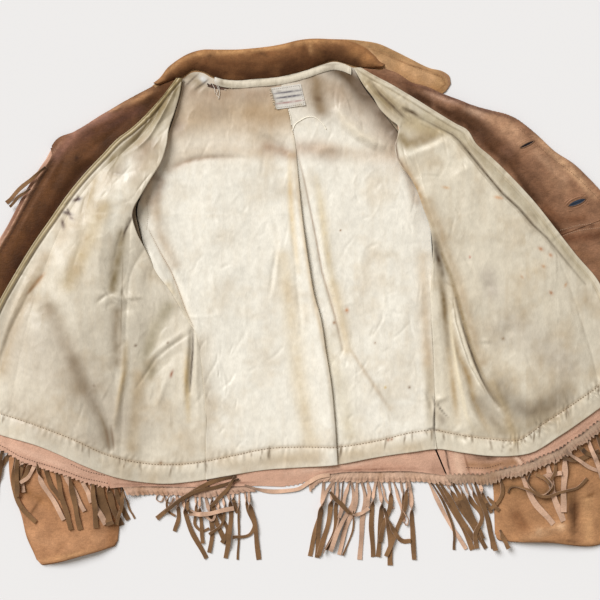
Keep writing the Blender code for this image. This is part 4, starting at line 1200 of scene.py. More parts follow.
FRONT_LINING_FOLDS = {
    "left": [
        ([(-242, 104), (-248, 74), (-252, 42), (-258, 12)], -2.8, 9, 8),
        ([(-236, 118), (-240, 100), (-243, 84), (-246, 60)], -2.6, 3, 3),
        ([(-262, 150), (-272, 110), (-280, 60), (-282, 12)], 1.4, 13, 9),
        ([(-178, 288), (-196, 254), (-212, 228), (-228, 212)], 2.2, 4, 3),
        ([(-186, 286), (-206, 254), (-228, 226), (-250, 206)], -2.0, 3, 4),
        ([(-276, 184), (-262, 177), (-246, 175), (-230, 182)], -1.4, 5, 8),
        ([(-288, 172), (-298, 140), (-304, 104)], -2.0, 9, 9),
        ([(-296, 110), (-306, 78), (-322, 27)], -1.8, 11, 11),
        ([(-278, 9), (-262, 5), (-247, 1), (-232, 3)], 1.5, 5, 4),
        ([(-284, -4), (-272, 6), (-260, 10)], -1.3, 2.4, 2.4),
        ([(-274, 18), (-266, 6), (-256, -2)], -1.4, 2.2, 2.2),
        ([(-250, 14), (-244, 2), (-232, -3)], -1.4, 2.2, 2.2),
        ([(-240, 12), (-230, 4), (-222, 4)], 1.1, 2.4, 2.4),
        ([(-272, -10), (-256, -13), (-240, -14)], -2.6, 6, 8),
        ([(-262, -18), (-260, -58), (-255, -84)], -1.6, 12, 7),
        ([(-246, -56), (-247, -100), (-252, -130), (-260, -180)], 2.0, 5, 5),
        ([(-356, 0), (-339, -44), (-322, -77), (-302, -108), (-285, -145), (-271, -179),
          (-266, -206)], -3.0, 16, 10),
        ([(-378, -30), (-356, -84), (-334, -124), (-308, -164), (-292, -194)], 1.4, 18, 14),
        ([(-330, 20), (-312, -30), (-296, -70), (-284, -110)], 1.4, 14, 14),
        ([(-272, -178), (-269, -194), (-266, -212)], -1.8, 2, 2),
        ([(-264, -178), (-262, -196), (-261, -212)], -1.4, 2, 2),
        ([(-361, 38), (-382, 2), (-400, -28), (-420, -80), (-430, -120)], -1.8, 4, 5),
        ([(-372, 44), (-394, 4), (-410, -34), (-430, -90)], 1.4, 6, 6),
        ([(-228, 232), (-250, 198), (-272, 160), (-296, 110), (-312, 50)], 1.4, 26, 26),
        ([(-151, -38), (-151, -60), (-152, -98), (-154, -130)], -3.4, 2.6, 2.2),
        ([(-157, -44), (-158, -70), (-160, -100), (-163, -140)], 1.8, 7, 2.5),
        ([(-146, -50), (-146, -80), (-146, -120), (-142, -170)], 1.2, 3, 5),
        ([(-151, -45), (-168, -56), (-184, -67), (-204, -84), (-217, -104), (-231, -125)], -1.0, 1.7, 1.7),
        ([(-156, -40), (-180, -56), (-202, -73), (-216, -90)], 0.8, 4, 3),
        ([(-172, -74), (-196, -92), (-212, -114)], -1.4, 8, 8),
        ([(-184, -6), (-204, -40), (-217, -84)], -2.0, 13, 12),
        ([(-196, 40), (-182, 10), (-168, -20)], -1.2, 5, 5),
        ([(-188, -112), (-196, -134), (-202, -150)], 0.9, 4, 4),
        ([(-214, -150), (-222, -190), (-230, -222)], 1.0, 12, 12),
    ],
    "right": [
        ([(170, 168), (178, 140), (191, 97), (202, 64), (215, 32), (224, 2), (233, -32), (241, -60),
          (250, -86),
          (261, -110), (274, -134), (286, -152)], 5.0, 5, 24),
        ([(214, 24), (217, 0), (223, -34), (232, -62), (241, -88), (252, -112), (265, -136),
          (277, -150)], -3.6, 4, 3),
        ([(213, 4), (218, -32), (226, -60), (236, -90), (251, -117), (265, -138), (282, -162), (292, -174)],
         2.4, 4, 3),
        ([(188, 76), (193, 44), (199, 20), (203, -10), (206, -43), (210, -75), (214, -107), (218, -140),
          (222, -172)], -3.8, 6, 5),
        ([(209, -10), (214, -54), (220, -97), (227, -129), (233, -161), (244, -184)], 1.8, 4, 5),
        ([(212, -32), (222, -75), (237, -108), (245, -140), (255, -166), (268, -189)], -2.2, 5, 6),
        ([(232, -136), (244, -164), (262, -188)], 1.4, 4, 6),
        ([(138, 240), (156, 234), (176, 231), (198, 238)], -4, 12, 14),
        ([(142, 196), (158, 205), (181, 214), (204, 225)], 1.6, 9, 11),
        ([(162, 212), (184, 221), (204, 232)], -1.5, 4, 4),
        ([(99, 307), (112, 289), (129, 273), (144, 258), (157, 248)], -2.6, 2, 2.6),
        ([(92, 304), (104, 288), (122, 270), (136, 256)], 2.0, 3, 3),
        ([(108, 304), (128, 284), (150, 266)], 1.6, 4, 5),
        ([(146, 268), (158, 263), (173, 253), (187, 246), (214, 232), (224, 223), (237, 207), (260, 178),
          (284, 149), (307, 128), (327, 105), (348, 86), (376, 52), (402, 22)], -2.6, 1.7, 1.9),
        ([(170, 248), (186, 240), (210, 227), (219, 219), (232, 203), (255, 174), (279, 145), (302, 124),
          (322, 101), (343, 82), (371, 48)], 1.9, 4, 3),
        ([(146, 266), (156, 261), (166, 254)], -1.6, 3, 3),
        ([(186, -137), (196, -148), (204, -160)], -2.0, 4, 4),
        ([(184, -150), (196, -140), (206, -136)], 1.6, 4, 4),
        ([(263, 20)], -1.2, 8, 8),
        ([(290, -45)], -1.4, 9, 9),
        ([(252, -60), (263, -63)], -0.8, 2.5, 2.5),
        ([(254, -55), (266, -58)], 0.7, 2.5, 2.5),
        ([(230, 120), (262, 60), (290, 0), (330, -70)], 1.2, 22, 22),
        ([(300, 90), (340, 30), (372, -40), (390, -110)], 1.1, 24, 24),
        ([(212, 200), (236, 160), (246, 110)], 1.2, 14, 14),
        ([(300, -60), (318, -110), (330, -160)], 1.0, 14, 14),
        ([(270, -120), (285, -150), (300, -190)], 1.6, 9, 6),
        ([(232, -160), (236, -185), (240, -205)], 1.0, 6, 6),
        ([(210, 170), (228, 182), (240, 186)], 1.0, 6, 6),
    ],
}
# Stains on the fronts' satin, with painted shade at the neck, in the valleys and along the folds, and painted
# highlights on the ridges.
FRONT_LINING_STAINS_AND_PAINTED_LIGHT = {
    "left": [
        ("8b794f", [(-166, 310), (-188, 274), (-212, 244), (-240, 216), (-262, 196)], 15, 0.9),
        ("73603c", [(-176, 296), (-206, 256), (-236, 224), (-266, 196)], 5, 0.7),
        ("b3a18c", [(-214, 216), (-228, 196), (-244, 178)], 15, 0.8),
        ("93836e", [(-266, 178), (-246, 176), (-230, 181)], 5, 0.7),
        ("b09b70", [(-286, 172), (-294, 150), (-302, 122)], 5, 0.65),
        ("efebdd", [(-236, 190), (-254, 144), (-272, 100)], 11, 0.8),
        ("4f3630", [(-319, 139), (-306, 143)], 2.6, 0.95),
        ("4f3630", [(-313, 147), (-309, 139)], 1.8, 0.9),
        ("55403a", [(-336, 125), (-318, 119)], 2.4, 0.95),
        ("55403a", [(-327, 129), (-322, 117)], 1.7, 0.9),
        ("5a423c", [(-334, 113), (-331, 99)], 2.6, 0.9),
        ("6a5048", [(-323, 116), (-317, 113)], 1.7, 0.8),
        ("a5744a", [(-379, 14), (-368, 27), (-359, 37)], 3, 0.85),
        ("8d5a34", [(-384, 8), (-374, 20)], 1.8, 0.8),
        ("a48a62", [(-358, 60), (-386, 6), (-406, -44), (-418, -100)], 12, 0.6),
        ("8a7854", [(-249, 92), (-253, 65), (-258, 40), (-262, 16)], 7, 0.95),
        ("4f3f30", [(-231, 123), (-237, 111), (-245, 95), (-248, 84)], 1.8, 0.9),
        ("85745a", [(-248, 61), (-250, 0), (-252, -84)], 0.9, 0.6),
        ("9d8d76", [(-350, -10), (-336, -44), (-322, -76), (-304, -116)], 13, 0.8),
        ("7d6d56", [(-318, -84), (-300, -124), (-280, -164), (-268, -200)], 9, 0.9),
        ("75613f", [(-284, -150), (-274, -176), (-267, -208)], 2.4, 0.8),
        ("94846c", [(-256, -16), (-258, -52), (-256, -88)], 8, 0.9),
        ("b9a680", [(-274, 130), (-288, 98), (-304, 64), (-324, 22)], 12, 0.9),
        ("b9ac98", [(-400, -150), (-350, -185), (-290, -200)], 18, 0.7),
        ("bd9f67", [(-244, -60), (-246, -100), (-254, -140), (-259, -176)], 4, 0.75),
        ("b79e72", [(-226, -110), (-232, -160), (-236, -206)], 10, 0.55),
        ("7d6146", [(-272, -178), (-267, -210)], 1.8, 0.8),
        ("7d6146", [(-265, -176), (-261, -210)], 1.6, 0.8),
        ("8e4a24", [(-182, -109), (-181, -104), (-179, -99)], 1.8, 0.95),
        ("c2a56c", [(-158, -70), (-160, -110), (-157, -170)], 4, 0.8),
        ("998e72", [(-186, -10), (-205, -42), (-216, -80), (-210, -104)], 11, 0.8),
        ("4a3a2c", [(-151, -42), (-151, -70), (-153, -98), (-155, -128)], 1.5, 0.95),
        ("7c6550", [(-232, 125), (-227, 110), (-222, 88)], 4, 0.85),
        ("6f5640", [(-231, -64)], 2, 0.9),
        ("6f5640", [(-288, -120)], 2, 0.9),
        ("7b6048", [(-186, -60)], 1.6, 0.9),
        ("a99c8a", [(-390, -60), (-340, -90), (-290, -140), (-250, -170)], 40, 0.6),
        ("85603f", [(-198, -229), (-194, -229)], 2.6, 0.8),
    ],
    "right": [
        ("a39371", [(90, 306), (112, 284), (132, 264)], 6, 0.9),
        ("b3a079", [(90, 310), (130, 276), (170, 246)], 12, 0.7),
        ("d9cfb8", [(96, 312), (130, 292), (160, 274)], 4.5, 0.7),
        ("5f4c36", [(99, 307), (112, 289), (129, 273), (144, 258), (157, 248)], 2.4, 0.85),
        ("57442f", [(145, 268), (158, 263), (172, 254)], 2.6, 0.9),
        ("94815f", [(142, 228), (150, 218), (166, 222), (186, 232)], 9, 1.0),
        ("b3a27e", [(150, 246), (176, 240), (200, 238)], 10, 0.8),
        ("f0ead9", [(146, 200), (164, 208), (186, 217), (206, 227)], 4.5, 0.8),
        ("b4a88c", [(176, 258), (214, 238), (236, 219), (268, 184), (300, 148), (340, 106), (376, 66),
                    (402, 34)],
         9, 0.8),
        ("54442f", [(170, 255), (187, 246), (214, 232), (224, 223), (237, 207), (260, 178), (284, 149),
                    (307, 128),
                    (327, 105), (348, 86), (376, 52), (402, 22)], 1.7, 0.9),
        ("a98758", [(141, 196), (151, 178), (164, 156), (174, 130), (184, 108)], 5, 0.85),
        ("6d4f38", [(136, 236), (134, 216), (137, 198), (150, 176)], 1.6, 0.8),
        ("b8a588", [(180, 138), (195, 97), (206, 64), (219, 32), (228, 2), (237, -32), (245, -60),
                    (254, -86)], 8, 0.8),
        ("8f7a56", [(174, 140), (187, 97), (198, 64), (211, 32), (220, 2), (229, -32), (237, -60), (246, -86),
                    (257, -110), (270, -134), (281, -148)], 3.6, 0.95),
        ("4a3a28", [(187, 90), (192, 66), (197, 46), (203, 26)], 5, 1.0),
        ("7b6848", [(193, 50), (199, 20), (203, -11), (206, -43), (210, -85)], 6, 1.0),
        ("a88f66", [(209, -70), (214, -108), (218, -140), (222, -172)], 5, 0.9),
        ("9c8257", [(212, -32), (222, -75), (237, -108), (244, -140), (255, -166), (268, -189)], 5, 0.95),
        ("f0e8d4", [(214, 4), (218, -32), (227, -60), (238, -90), (251, -117), (266, -138),
                    (283, -162)], 2, 0.85),
        ("e4d6b8", [(210, -10), (214, -54), (220, -97), (227, -129), (233, -161), (244, -184)], 3, 0.7),
        ("3f3020", [(218, 3), (226, -32), (235, -60), (244, -86), (254, -110), (267, -134),
                    (278, -147)], 1.5, 0.95),
        ("8b7d68", [(252, -142), (266, -162), (284, -186)], 9, 0.9),
        ("a3988a", [(262, 34), (268, 12)], 12, 0.7),
        ("b3a99a", [(290, -40), (330, -60), (370, -90)], 26, 0.6),
        ("c99f70", [(198, 158), (209, 156)], 1.8, 0.75),
        ("cd9462", [(272, 144), (283, 142)], 2.0, 0.8),
        ("a83c28", [(237, 60)], 1.4, 0.9),
        ("b3784c", [(334, 73), (340, 70)], 2.6, 0.8),
        ("b3784c", [(349, 65), (353, 61)], 2.2, 0.8),
        ("b98a5e", [(338, 48), (343, 46)], 2.2, 0.7),
        ("ab7146", [(349, 12), (353, 8)], 2.4, 0.8),
        ("b98a5e", [(374, 24), (371, 18)], 2.0, 0.7),
        ("b98a5e", [(308, 34), (312, 30)], 1.6, 0.6),
        ("8a6a44", [(282, -53), (285, -55)], 2.2, 0.8),
        ("8b806f", [(276, -128), (290, -146), (324, -158), (366, -136)], 18, 0.95),
        ("a3957c", [(250, -184), (300, -184), (340, -164)], 12, 0.65),
        ("b5a07a", [(268, -116), (286, -150), (300, -196)], 7, 0.6),
    ],
}
SATIN_GROUND = {"front_left": "d6cdba", "front_right": "d5ccb8", "back_left": "e9e4d6", "back_right": "e9e4d6"}
HEM_STAIN = "a98a63"
WIDE_STAIN_AND_SHADE, WIDE_MARK_WIDTH = 0.85, 3
TUCKS = 60
SOFT_EDGED = 0.16
# Beside the facing: its colour, how far off it is, how wide and how strong. A khaki tint on the rolled edge,
# and painted shade in the ditch inside it.
EDGE_TINT_AND_SHADE = {
    "left": [("a08c5f", 1.5, 2.2, 0.9), ("6a5738", 5.0, 1.2, 0.85)],
    "right": [("a89a7c", 4.5, 1.6, 0.4)],
}
CREASES, LEAN = 150, {"left": 24, "right": -28}

ROLL_AT, ROLL_WIDE = 1.8, 2.0
DITCH_AT, DITCH_WIDE, DITCH = 5.0, 1.5, 0.9
SEAM_STEP, SEAM_RISE, SEAM_SINK = 2.4, 0.9, 0.6
# The radius of a turned edge, and how much is turned under.
SEAM_FOLD, SIDE_FOLD = (0.8, 2.0), (1.3, 5)
linings = {}


def lined(name, grid, marks, row_stain, age, seed, edge_tint_and_shade=(), torn=None):
    """A satin piece: its stains and painted light, the stain along the stitched row, the painted shade of the
    tucks, its age, and the tint and painted shade beside the facing.
    """
    marks = [*faded(marks), (HEM_STAIN, row_course[::4], 2.4, row_stain), *tuck_shades(TUCKS, 61)]
    colours = aged(painted(grid, SATIN_GROUND[name], marks, SOFT_EDGED), grid, age, seed)
    for code, cover in edge_tint_and_shade:
        colours = colours + (linear(code) - colours) * cover[..., None]
    cloth = satin(f"cream_satin_{name}", SATIN_TURNS[name])
    linings[name] = shell(f"lining_{name}_satin", grid, cloth, colours, [f"lining_{name}"],
                          torn=torn)


for side, front in FRONTS.items():
    name = f"front_{side}"
    t = np.linspace(0, 1, LINING_ROWS)
    flat = to_the_hem(ruled(front_lines(side), t, LINING_BAY[name], CROWDING), t)
    seam_course = samples(smooth_line(front["facing"]), 80)
    inwards, _, _ = course(seam_course, flat)
    roll, ditch = bell(inwards - ROLL_AT, ROLL_WIDE), bell(inwards - DITCH_AT, DITCH_WIDE)
    folds = [*FRONT_LINING_FOLDS[side], *pressed_creases(flat, CREASES, LEAN[side], 43)]
    height = lining_height(front_height(side, flat), flat, folds, 41)
    grid = np.dstack([flat, height + ROLLED_EDGE[side] * roll - DITCH * ditch])
    reach = unit((grid[:, -1] - grid[:, -6]) * LEVEL) * SEAM_STEP + UPRIGHT * SEAM_RISE
    step = np.stack([grid[:, -1] + reach * share for share in (0.5, 1.0)], 1)
    grid = turned_under(np.concatenate([grid, step], axis=1), "last", *SEAM_FOLD)
    grid[:, 0, 2] -= np.where(t < UNDERARM_ROW[side] / ROWS, 0, SEAM_SINK)
    grid = turned_under(grid, "first", *SIDE_FOLD)
    grid = turned_under(grid, "bottom", HEM_ROUND, HEM_TURN)
    inwards, _, _ = course(seam_course, grid)
    edge_tint_and_shade = [(code, strength * bell(inwards - inset, width)) for code, inset, width, strength in EDGE_TINT_AND_SHADE[side]]
    lined(name, grid, FRONT_LINING_STAINS_AND_PAINTED_LIGHT[side], 0.45, 1.0, 81, edge_tint_and_shade)

BACK_LINING_FOLDS = {
    "left": [
        ([(-13, 126), (-8, 70), (-4, 20), (3, -48)], -0.9, 3, 3),
        ([(-31, 80), (-38, 40), (-43, 4)], -1.0, 3, 4),
        ([(-26, 84), (-33, 44), (-38, 6)], 0.8, 4, 4),
        ([(-185, 185), (-165, 194), (-144, 200), (-110, 201), (-70, 199)], -1.1, 4, 4),
        ([(-9, 231), (-8, 190), (-4, 168), (-1, 140), (4, 99), (11, 53), (15, 27), (22, 3), (25, -21),
          (34, -60)],
         1.4, 9, 4),
        ([(22, -20), (31, -70), (39, -120), (44, -171), (47, -225)], 1.6, 14, 6),
        ([(-213, 99), (-195, 64), (-181, 39), (-169, 8), (-160, -17), (-150, -38)], -1.6, 3, 3),
        ([(-219, 84), (-204, 54), (-188, 26), (-172, -6), (-158, -34)], 1.6, 5, 5),
        ([(-205, 100), (-186, 64), (-172, 36), (-158, 4), (-148, -24)], 1.2, 4, 8),
        ([(-217, 144), (-214, 122), (-216, 98)], -1.0, 2.6, 2.6),
        ([(-206, 150), (-203, 124), (-200, 102)], 1.0, 7, 7),
        ([(-150, 262), (-160, 240), (-176, 232)], 1.4, 10, 12),
        ([(-60, 232), (-36, 222), (-14, 206)], -1.6, 9, 9),
        ([(-70, 246), (-44, 232), (-20, 222)], 1.4, 9, 9),
        ([(-110, 160), (-122, 80), (-120, 0), (-104, -80)], 1.0, 28, 28),
        ([(-166, 296), (-158, 308), (-150, 318)], 2.0, 2, 2),
        ([(-160, 296), (-150, 308), (-140, 317)], -1.8, 2, 2),
        ([(-154, 294), (-144, 305), (-134, 314)], 2.4, 3, 2),
        ([(-147, 292), (-136, 302), (-127, 310)], -1.8, 2, 2),
        ([(-140, 292), (-130, 300), (-120, 306)], 2.0, 3, 2),
        ([(-180, 224), (-200, 190), (-212, 160)], 1.2, 9, 9),
    ],
    "right": [
        ([(-4, 209), (1, 183), (6, 168), (11, 140), (21, 94), (31, 39), (39, 13), (48, -18), (55, -41),
          (60, -70)],
         -1.9, 2.6, 3.2),
        ([(2, 209), (8, 183), (13, 166), (18, 138), (28, 92), (38, 37), (47, 10), (56, -20), (64, -44),
          (70, -72)],
         1.5, 3, 12),
        ([(50, 276), (64, 252), (84, 233), (104, 222), (124, 216)], 3.6, 9, 11),
        ([(70, 296), (90, 264), (114, 244), (130, 232)], -2.2, 12, 12),
        ([(40, 254), (66, 230), (96, 210), (124, 202)], -2.0, 9, 10),
        ([(20, 206), (40, 214), (60, 212)], 1.4, 8, 8),
        ([(66, -63), (96, -108), (126, -154)], 1.1, 12, 8),
        ([(140, 190), (152, 130), (166, 80)], 1.2, 14, 14),
        ([(120, 60), (140, 0), (150, -60)], 1.0, 20, 20),
        ([(178, -90), (176, -140), (180, -190)], 1.2, 8, 7),
        ([(176, -130), (184, -142), (186, -156)], -1.4, 4, 4),
    ],
}
# Stains on the back's satin, with painted shade under the collar, at the tear and in the folds by the neck,
# painted highlights on the folds, and painted light where the fronts' edges cast their shadow.
BACK_LINING_STAINS_AND_PAINTED_LIGHT = {
    "left": [
        ("bda483", [(-200, 250), (-150, 262), (-90, 262), (-20, 268)], 42, 0.95),
        ("ab937a", [(-170, 296), (-120, 290), (-60, 292), (-16, 298)], 17, 0.85),
        # Painted light where the left front's edge casts its shadow, and a line of painted shade along that
        # edge.
        ("e0c4a2", [(-176, 300), (-181, 262), (-194, 222), (-208, 184), (-220, 140)], 8, 0.9),
        ("58453a", [(-184, 262), (-199, 220), (-216, 182), (-226, 140)], 1.8, 0.9),
        ("94806c", [(-172, 244)], 12, 0.85),
        ("a38f78", [(-136, 268), (-116, 264)], 15, 0.6),
        ("a08b78", [(-206, 176), (-196, 166), (-204, 140)], 8, 0.8),
        ("cfbca2", [(-186, 188), (-154, 206), (-106, 210), (-42, 208)], 12, 0.6),
        ("977c62", [(-184, 182), (-172, 190), (-154, 197), (-130, 201), (-96, 202)], 4, 0.8),
        ("ab9179", [(-46, 216), (-28, 211), (-10, 203)], 10, 0.9),
        ("d8bf90", [(-14, 205), (-14, 150), (-10, 98), (-2, 40)], 4.5, 0.8),
        ("d2bd96", [(-24, 60), (-10, -40), (0, -120), (14, -200)], 12, 0.6),
        ("b9a284", [(-206, 140), (-196, 90), (-176, 50)], 9, 0.6),
        ("9f8262", [(-213, 99), (-195, 64), (-181, 39), (-169, 8), (-160, -17), (-150, -38)], 1.4, 0.6),
        ("ccb78d", [(-185, 20), (-165, -22), (-150, -60)], 8, 0.6),
        ("4a3222", [(-131, 303), (-122, 300), (-113, 299), (-99, 298)], 2.4, 0.9),
        ("a3937a", [(-170, 322), (-152, 314), (-138, 304)], 11, 1.0),
        ("dfe4e6", [(-140, 314), (-131, 307)], 4, 0.9),
        ("6b5a46", [(-168, 308), (-158, 318)], 2.5, 0.9),
        ("57473a", [(-162, 300), (-152, 310), (-143, 318)], 1.2, 0.8),
        ("4b3c33", [(-148, 296), (-138, 303), (-129, 310)], 1.3, 0.85),
        ("c4b193", [(-126, -222), (-80, -232), (-30, -224), (20, -222)], 18, 0.8),
        ("c9bfac", [(-140, -60), (-134, -140), (-132, -230)], 14, 0.9),
        ("4d4038", [(-17, 290), (-15, 270), (-11, 241)], 1.6, 0.8),
        ("cbb28a", [(-9, 231), (-4, 168), (4, 99), (15, 27), (25, -21), (40, -90), (47, -171)], 3.5, 0.7),
        ("8a7a66", [(52, -60), (50, -140), (53, -228)], 4, 0.55),
    ],
    "right": [
        ("b7a38c", [(10, 300), (60, 290), (110, 262), (136, 222)], 34, 0.85),
        ("8b7353", [(12, 322), (24, 306), (24, 284), (30, 268)], 12, 0.95),
        ("6b5238", [(26, 288), (25, 278)], 6, 0.9),
        ("5c4830", [(50, 326), (64, 318), (80, 304), (90, 292)], 13, 1.2),
        ("746250", [(84, 302), (106, 276), (126, 250), (140, 232)], 15, 1.2),
        ("b79f88", [(-4, 214), (20, 213), (44, 208)], 12, 0.85),
        ("c7b196", [(30, 214), (80, 204), (130, 206)], 11, 0.6),
        ("e8dcc4", [(50, 272), (66, 248), (86, 230), (120, 216)], 6, 0.75),
        ("d8c49a", [(24, 170), (30, 130), (38, 70), (50, 0)], 6, 0.75),
        ("cdb68c", [(48, 20), (60, -30), (66, -70)], 9, 0.6),
        ("a98d6d", [(150, 200), (156, 170), (164, 140)], 7, 0.6),
        ("8a6b4c", [(-4, 209), (6, 168), (21, 94), (31, 39), (48, -18), (60, -70)], 1.4, 0.7),
        ("c77a34", [(66, -12), (66, -17)], 2.4, 0.9),
        ("a06a38", [(48, -32)], 1.8, 0.9),
        ("8c6038", [(105, -60), (106, -61)], 1.8, 0.9),
        ("8c6038", [(57, 98)], 1.6, 0.9),
        ("7c5836", [(154, -123)], 1.8, 0.9),
        ("cfae58", [(120, -123)], 1.8, 0.8),
        ("b8a386", [(66, -63), (96, -108), (126, -154)], 3, 0.6),
        ("c0a987", [(172, 60), (176, -20), (178, -90)], 9, 0.6),
        ("b09672", [(180, -60), (184, -120), (186, -170)], 6, 0.7),
        ("c3b090", [(50, -222), (106, -212), (176, -206)], 14, 0.75),
        ("c8bda6", [(182, -100), (184, -160), (188, -204)], 10, 0.8),
        ("8d4f2c", [(124, -197)], 2.0, 0.9),
        ("8d4f2c", [(129, -196)], 1.8, 0.9),
        ("cdbf9f", [(30, -60), (56, -120), (70, -190)], 14, 0.55),
    ],
}
TEAR = [(-132, 303.5), (-122, 300.5), (-113, 299), (-98, 298.5)]
TEAR_WIDTH = 3.2
PLEAT_ROUND, PLEAT_TURN, PLEAT_LAP = 1.2, 8, 2.6
SEAM_ALLOWANCE = 9.0


def lining_half(side, lines, neck_from, neck_to):
    """Half of the back lining: flat points, their heights, and its turned sides and hem."""
    t = np.linspace(0, 1, LINING_ROWS)
    flat = to_the_hem(half_back(lines, t, LINING_BAY[f"back_{side}"], neck_from, neck_to), t)
    base = over_collar(flat)
    folds = [*BACK_LINING_FOLDS[side], *pressed_creases(flat, CREASES, 6, 53)]
    height = lining_height(base, flat, folds, 51, soft=0.7)
    down = ramp(t * 9)[:, None]
    height = (base + ON_LEATHER + LINING_REST) * (1 - down) + height * down
    grid = np.dstack([flat, height])
    if side == "left":
        lapped = bell(np.arange(flat.shape[1]), 16)[None] * ramp((t - 0.08) / 0.5)[:, None]
        grid[..., 2] += PLEAT_LAP * lapped
        grid = turned_under(grid, "first", PLEAT_ROUND, PLEAT_TURN)
    else:
        tucked = bell(np.arange(flat.shape[1])[::-1], 14)[None] * ramp((t - 0.12) / 0.3)[:, None]
        grid[..., 2] -= (grid[..., 2] - base - ON_LEATHER - 0.5) * tucked
    outer, beside = (-1, -2) if side == "left" else (0, 1)
    grid = turned_under(grid, "last" if side == "left" else "first", 0.6, -SEAM_ALLOWANCE)
    kept = 1 - ramp((t - UNDERARM_ROW[side] / ROWS + 0.03) / 0.03)[:, None]
    grid[:, outer] = grid[:, beside] + (grid[:, outer] - grid[:, beside]) * kept
    return turned_under(grid, "bottom", HEM_ROUND, HEM_TURN)


halves = {"left": (left_of_pleat, NECK_SHARE, 1),
          "right": ([side_lines["right"], smooth_line(LINING_RIGHT), pleat_under], 0, NECK_SHARE - NECK_GAP)}
for side, (lines, neck_from, neck_to) in halves.items():
    grid = lining_half(side, lines, neck_from, neck_to)
    torn = None
    if side == "left":
        middles = (grid[:-1, :-1] + grid[1:, 1:]) / 2
        away, share, _ = course(samples(smooth_line(TEAR)), middles)
        torn = away < TEAR_WIDTH * swell(share, 0.02, 0.6)
    lined(f"back_{side}", grid, BACK_LINING_STAINS_AND_PAINTED_LIGHT[side], 0.35, 0.8, 91, torn=torn)

# ---------------------------------------------------------------- neck tape and label

# White cotton tape covers the neck seam, and under its left end the satin has torn open. The woven label below
# it is bare but for plain stripes, sewn down, and frayed on its left side.

TAPE_TOP = [(-120, 312), (-109, 309), (-91, 307), (-64, 309), (-30, 312), (-15, 315),
            (11, 322), (31, 329), (49, 333), (60, 331), (72, 326)]
TAPE_WIDTH = 9.0
TAPE_TUCK = 1.2
TAPE_WALL = 0.7
TAPE_ROWS, TAPE_COLUMNS = 9, 190
LABEL_ROWS, LABEL_COLUMNS = 30, 40
ON_LINING = 3.3
LABEL_TOP = [(-41, 298), (1, 304)]
LABEL_BOTTOM = [(-33, 268), (8, 274)]
LABEL_WALL = 0.5


def woven(name, thread_mm):
    """Plain-woven cotton: matt, with its threads drawn as coarse as they need to show."""
    return dyed(name, [(thread_mm, run, 0, "FBM", 0.06, 0.2) for run in ((1, 0.15, 1), (0.15, 1, 1))],
                Roughness=0.85, Sheen_Weight=0.15)


tape = band([(x, y - TAPE_WIDTH) for x, y in TAPE_TOP], [(x, y + TAPE_TUCK) for x, y in TAPE_TOP],
            TAPE_ROWS, TAPE_COLUMNS)
down = np.linspace(0, 1, TAPE_ROWS)[:, None]
tape_z = over_collar(tape) + ON_LINING + 1.4 * np.sin(np.pi * down) ** 0.7
tape_z += 0.5 * rumple(tape * np.array([1.0, 0.35]), 4.5, 71) + 0.35 * rumple(tape, 12, 72)
tape_grid = np.dstack([tape, tape_z])
# Painted shadow along the tape's top edge under the collar, painted shade in its folds, and a painted highlight
# on its bunched left end.
TAPE_MARKS_AND_PAINTED_LIGHT = [
    ("6f6553", [(-134, 321), (-109, 310), (-64, 310), (-15, 316), (31, 330), (60, 332)], 1.8, 0.75),
    ("a3977f", [(-125, 307), (-100, 302), (-80, 300)], 4, 0.6),
    ("dfe3e4", [(-126, 314), (-118, 308)], 4, 0.8),
    ("8a7a66", [(-112, 309), (-108, 303)], 2.5, 0.7),
    ("a99c88", [(30, 322), (50, 330)], 4, 0.6),
    ("b9ad94", [(-60, 303), (-30, 305)], 4, 0.5),
]
neck_tape = shell("neck_tape_cotton", tape_grid, woven("cotton_tape", 1.0),
                  painted(tape_grid, "d9cfba", TAPE_MARKS_AND_PAINTED_LIGHT), ["neck_tape"], wall=TAPE_WALL,
                  under="cfc7b4")

label = band(LABEL_BOTTOM, LABEL_TOP, LABEL_ROWS, LABEL_COLUMNS)
fray = np.exp(-np.linspace(0, 1, LABEL_COLUMNS) * 14)[None]
label_xy = label + np.stack([0.9 * fray * rumple(label, 3, 74), 0 * label[..., 0]], -1)
label_z = height_on(label_xy, linings["back_left"], linings["back_right"])
label_z = np.maximum(label_z, label_z.mean() - 0.4) + 0.35 + 0.35 * rumple(label, 13, 73) + 0.9 * fray
label_grid = np.dstack([label_xy, label_z])
LABEL_MARKS = [
    ("55505c", [(-38, 283), (-16, 286), (5, 289)], 1.5, 1.0),
    ("55505c", [(-39, 289.5), (-18, 292.5), (4, 295.5)], 1.3, 1.0),
    ("9a5f5c", [(-36, 275.5), (-14, 278.5), (7, 281.5)], 1.1, 0.9),
    ("7a6c58", [(-42, 298), (-38, 283), (-34, 268)], 2.6, 0.8),
    ("b7a78d", [(-10, 272), (6, 276)], 4, 0.5),
    ("8c8378", [(-30, 279), (-22, 280)], 1.0, 0.7),
    ("8c8378", [(-34, 293), (-26, 294)], 1.0, 0.7),
]
label_piece = shell("label_bare", label_grid, woven("woven_label", 0.9),
                    painted(label_grid, "d3cec4", LABEL_MARKS), ["label"], wall=LABEL_WALL,
                    under="c9bfa8")

lining_pieces = list(linings.values())
rng = np.random.default_rng(17)


def loose(table, lift=0.5, pieces=lining_pieces):
    """A loose thread lying along a line on the pieces."""
    line = smooth_line(table)
    spots = drop(samples(line, max(int(line.length / 1.5), 4)), *pieces)
    spots[:, 2] = np.maximum(spots[:, 2], np.median(spots[:, 2]) - 1) + lift
    return spots


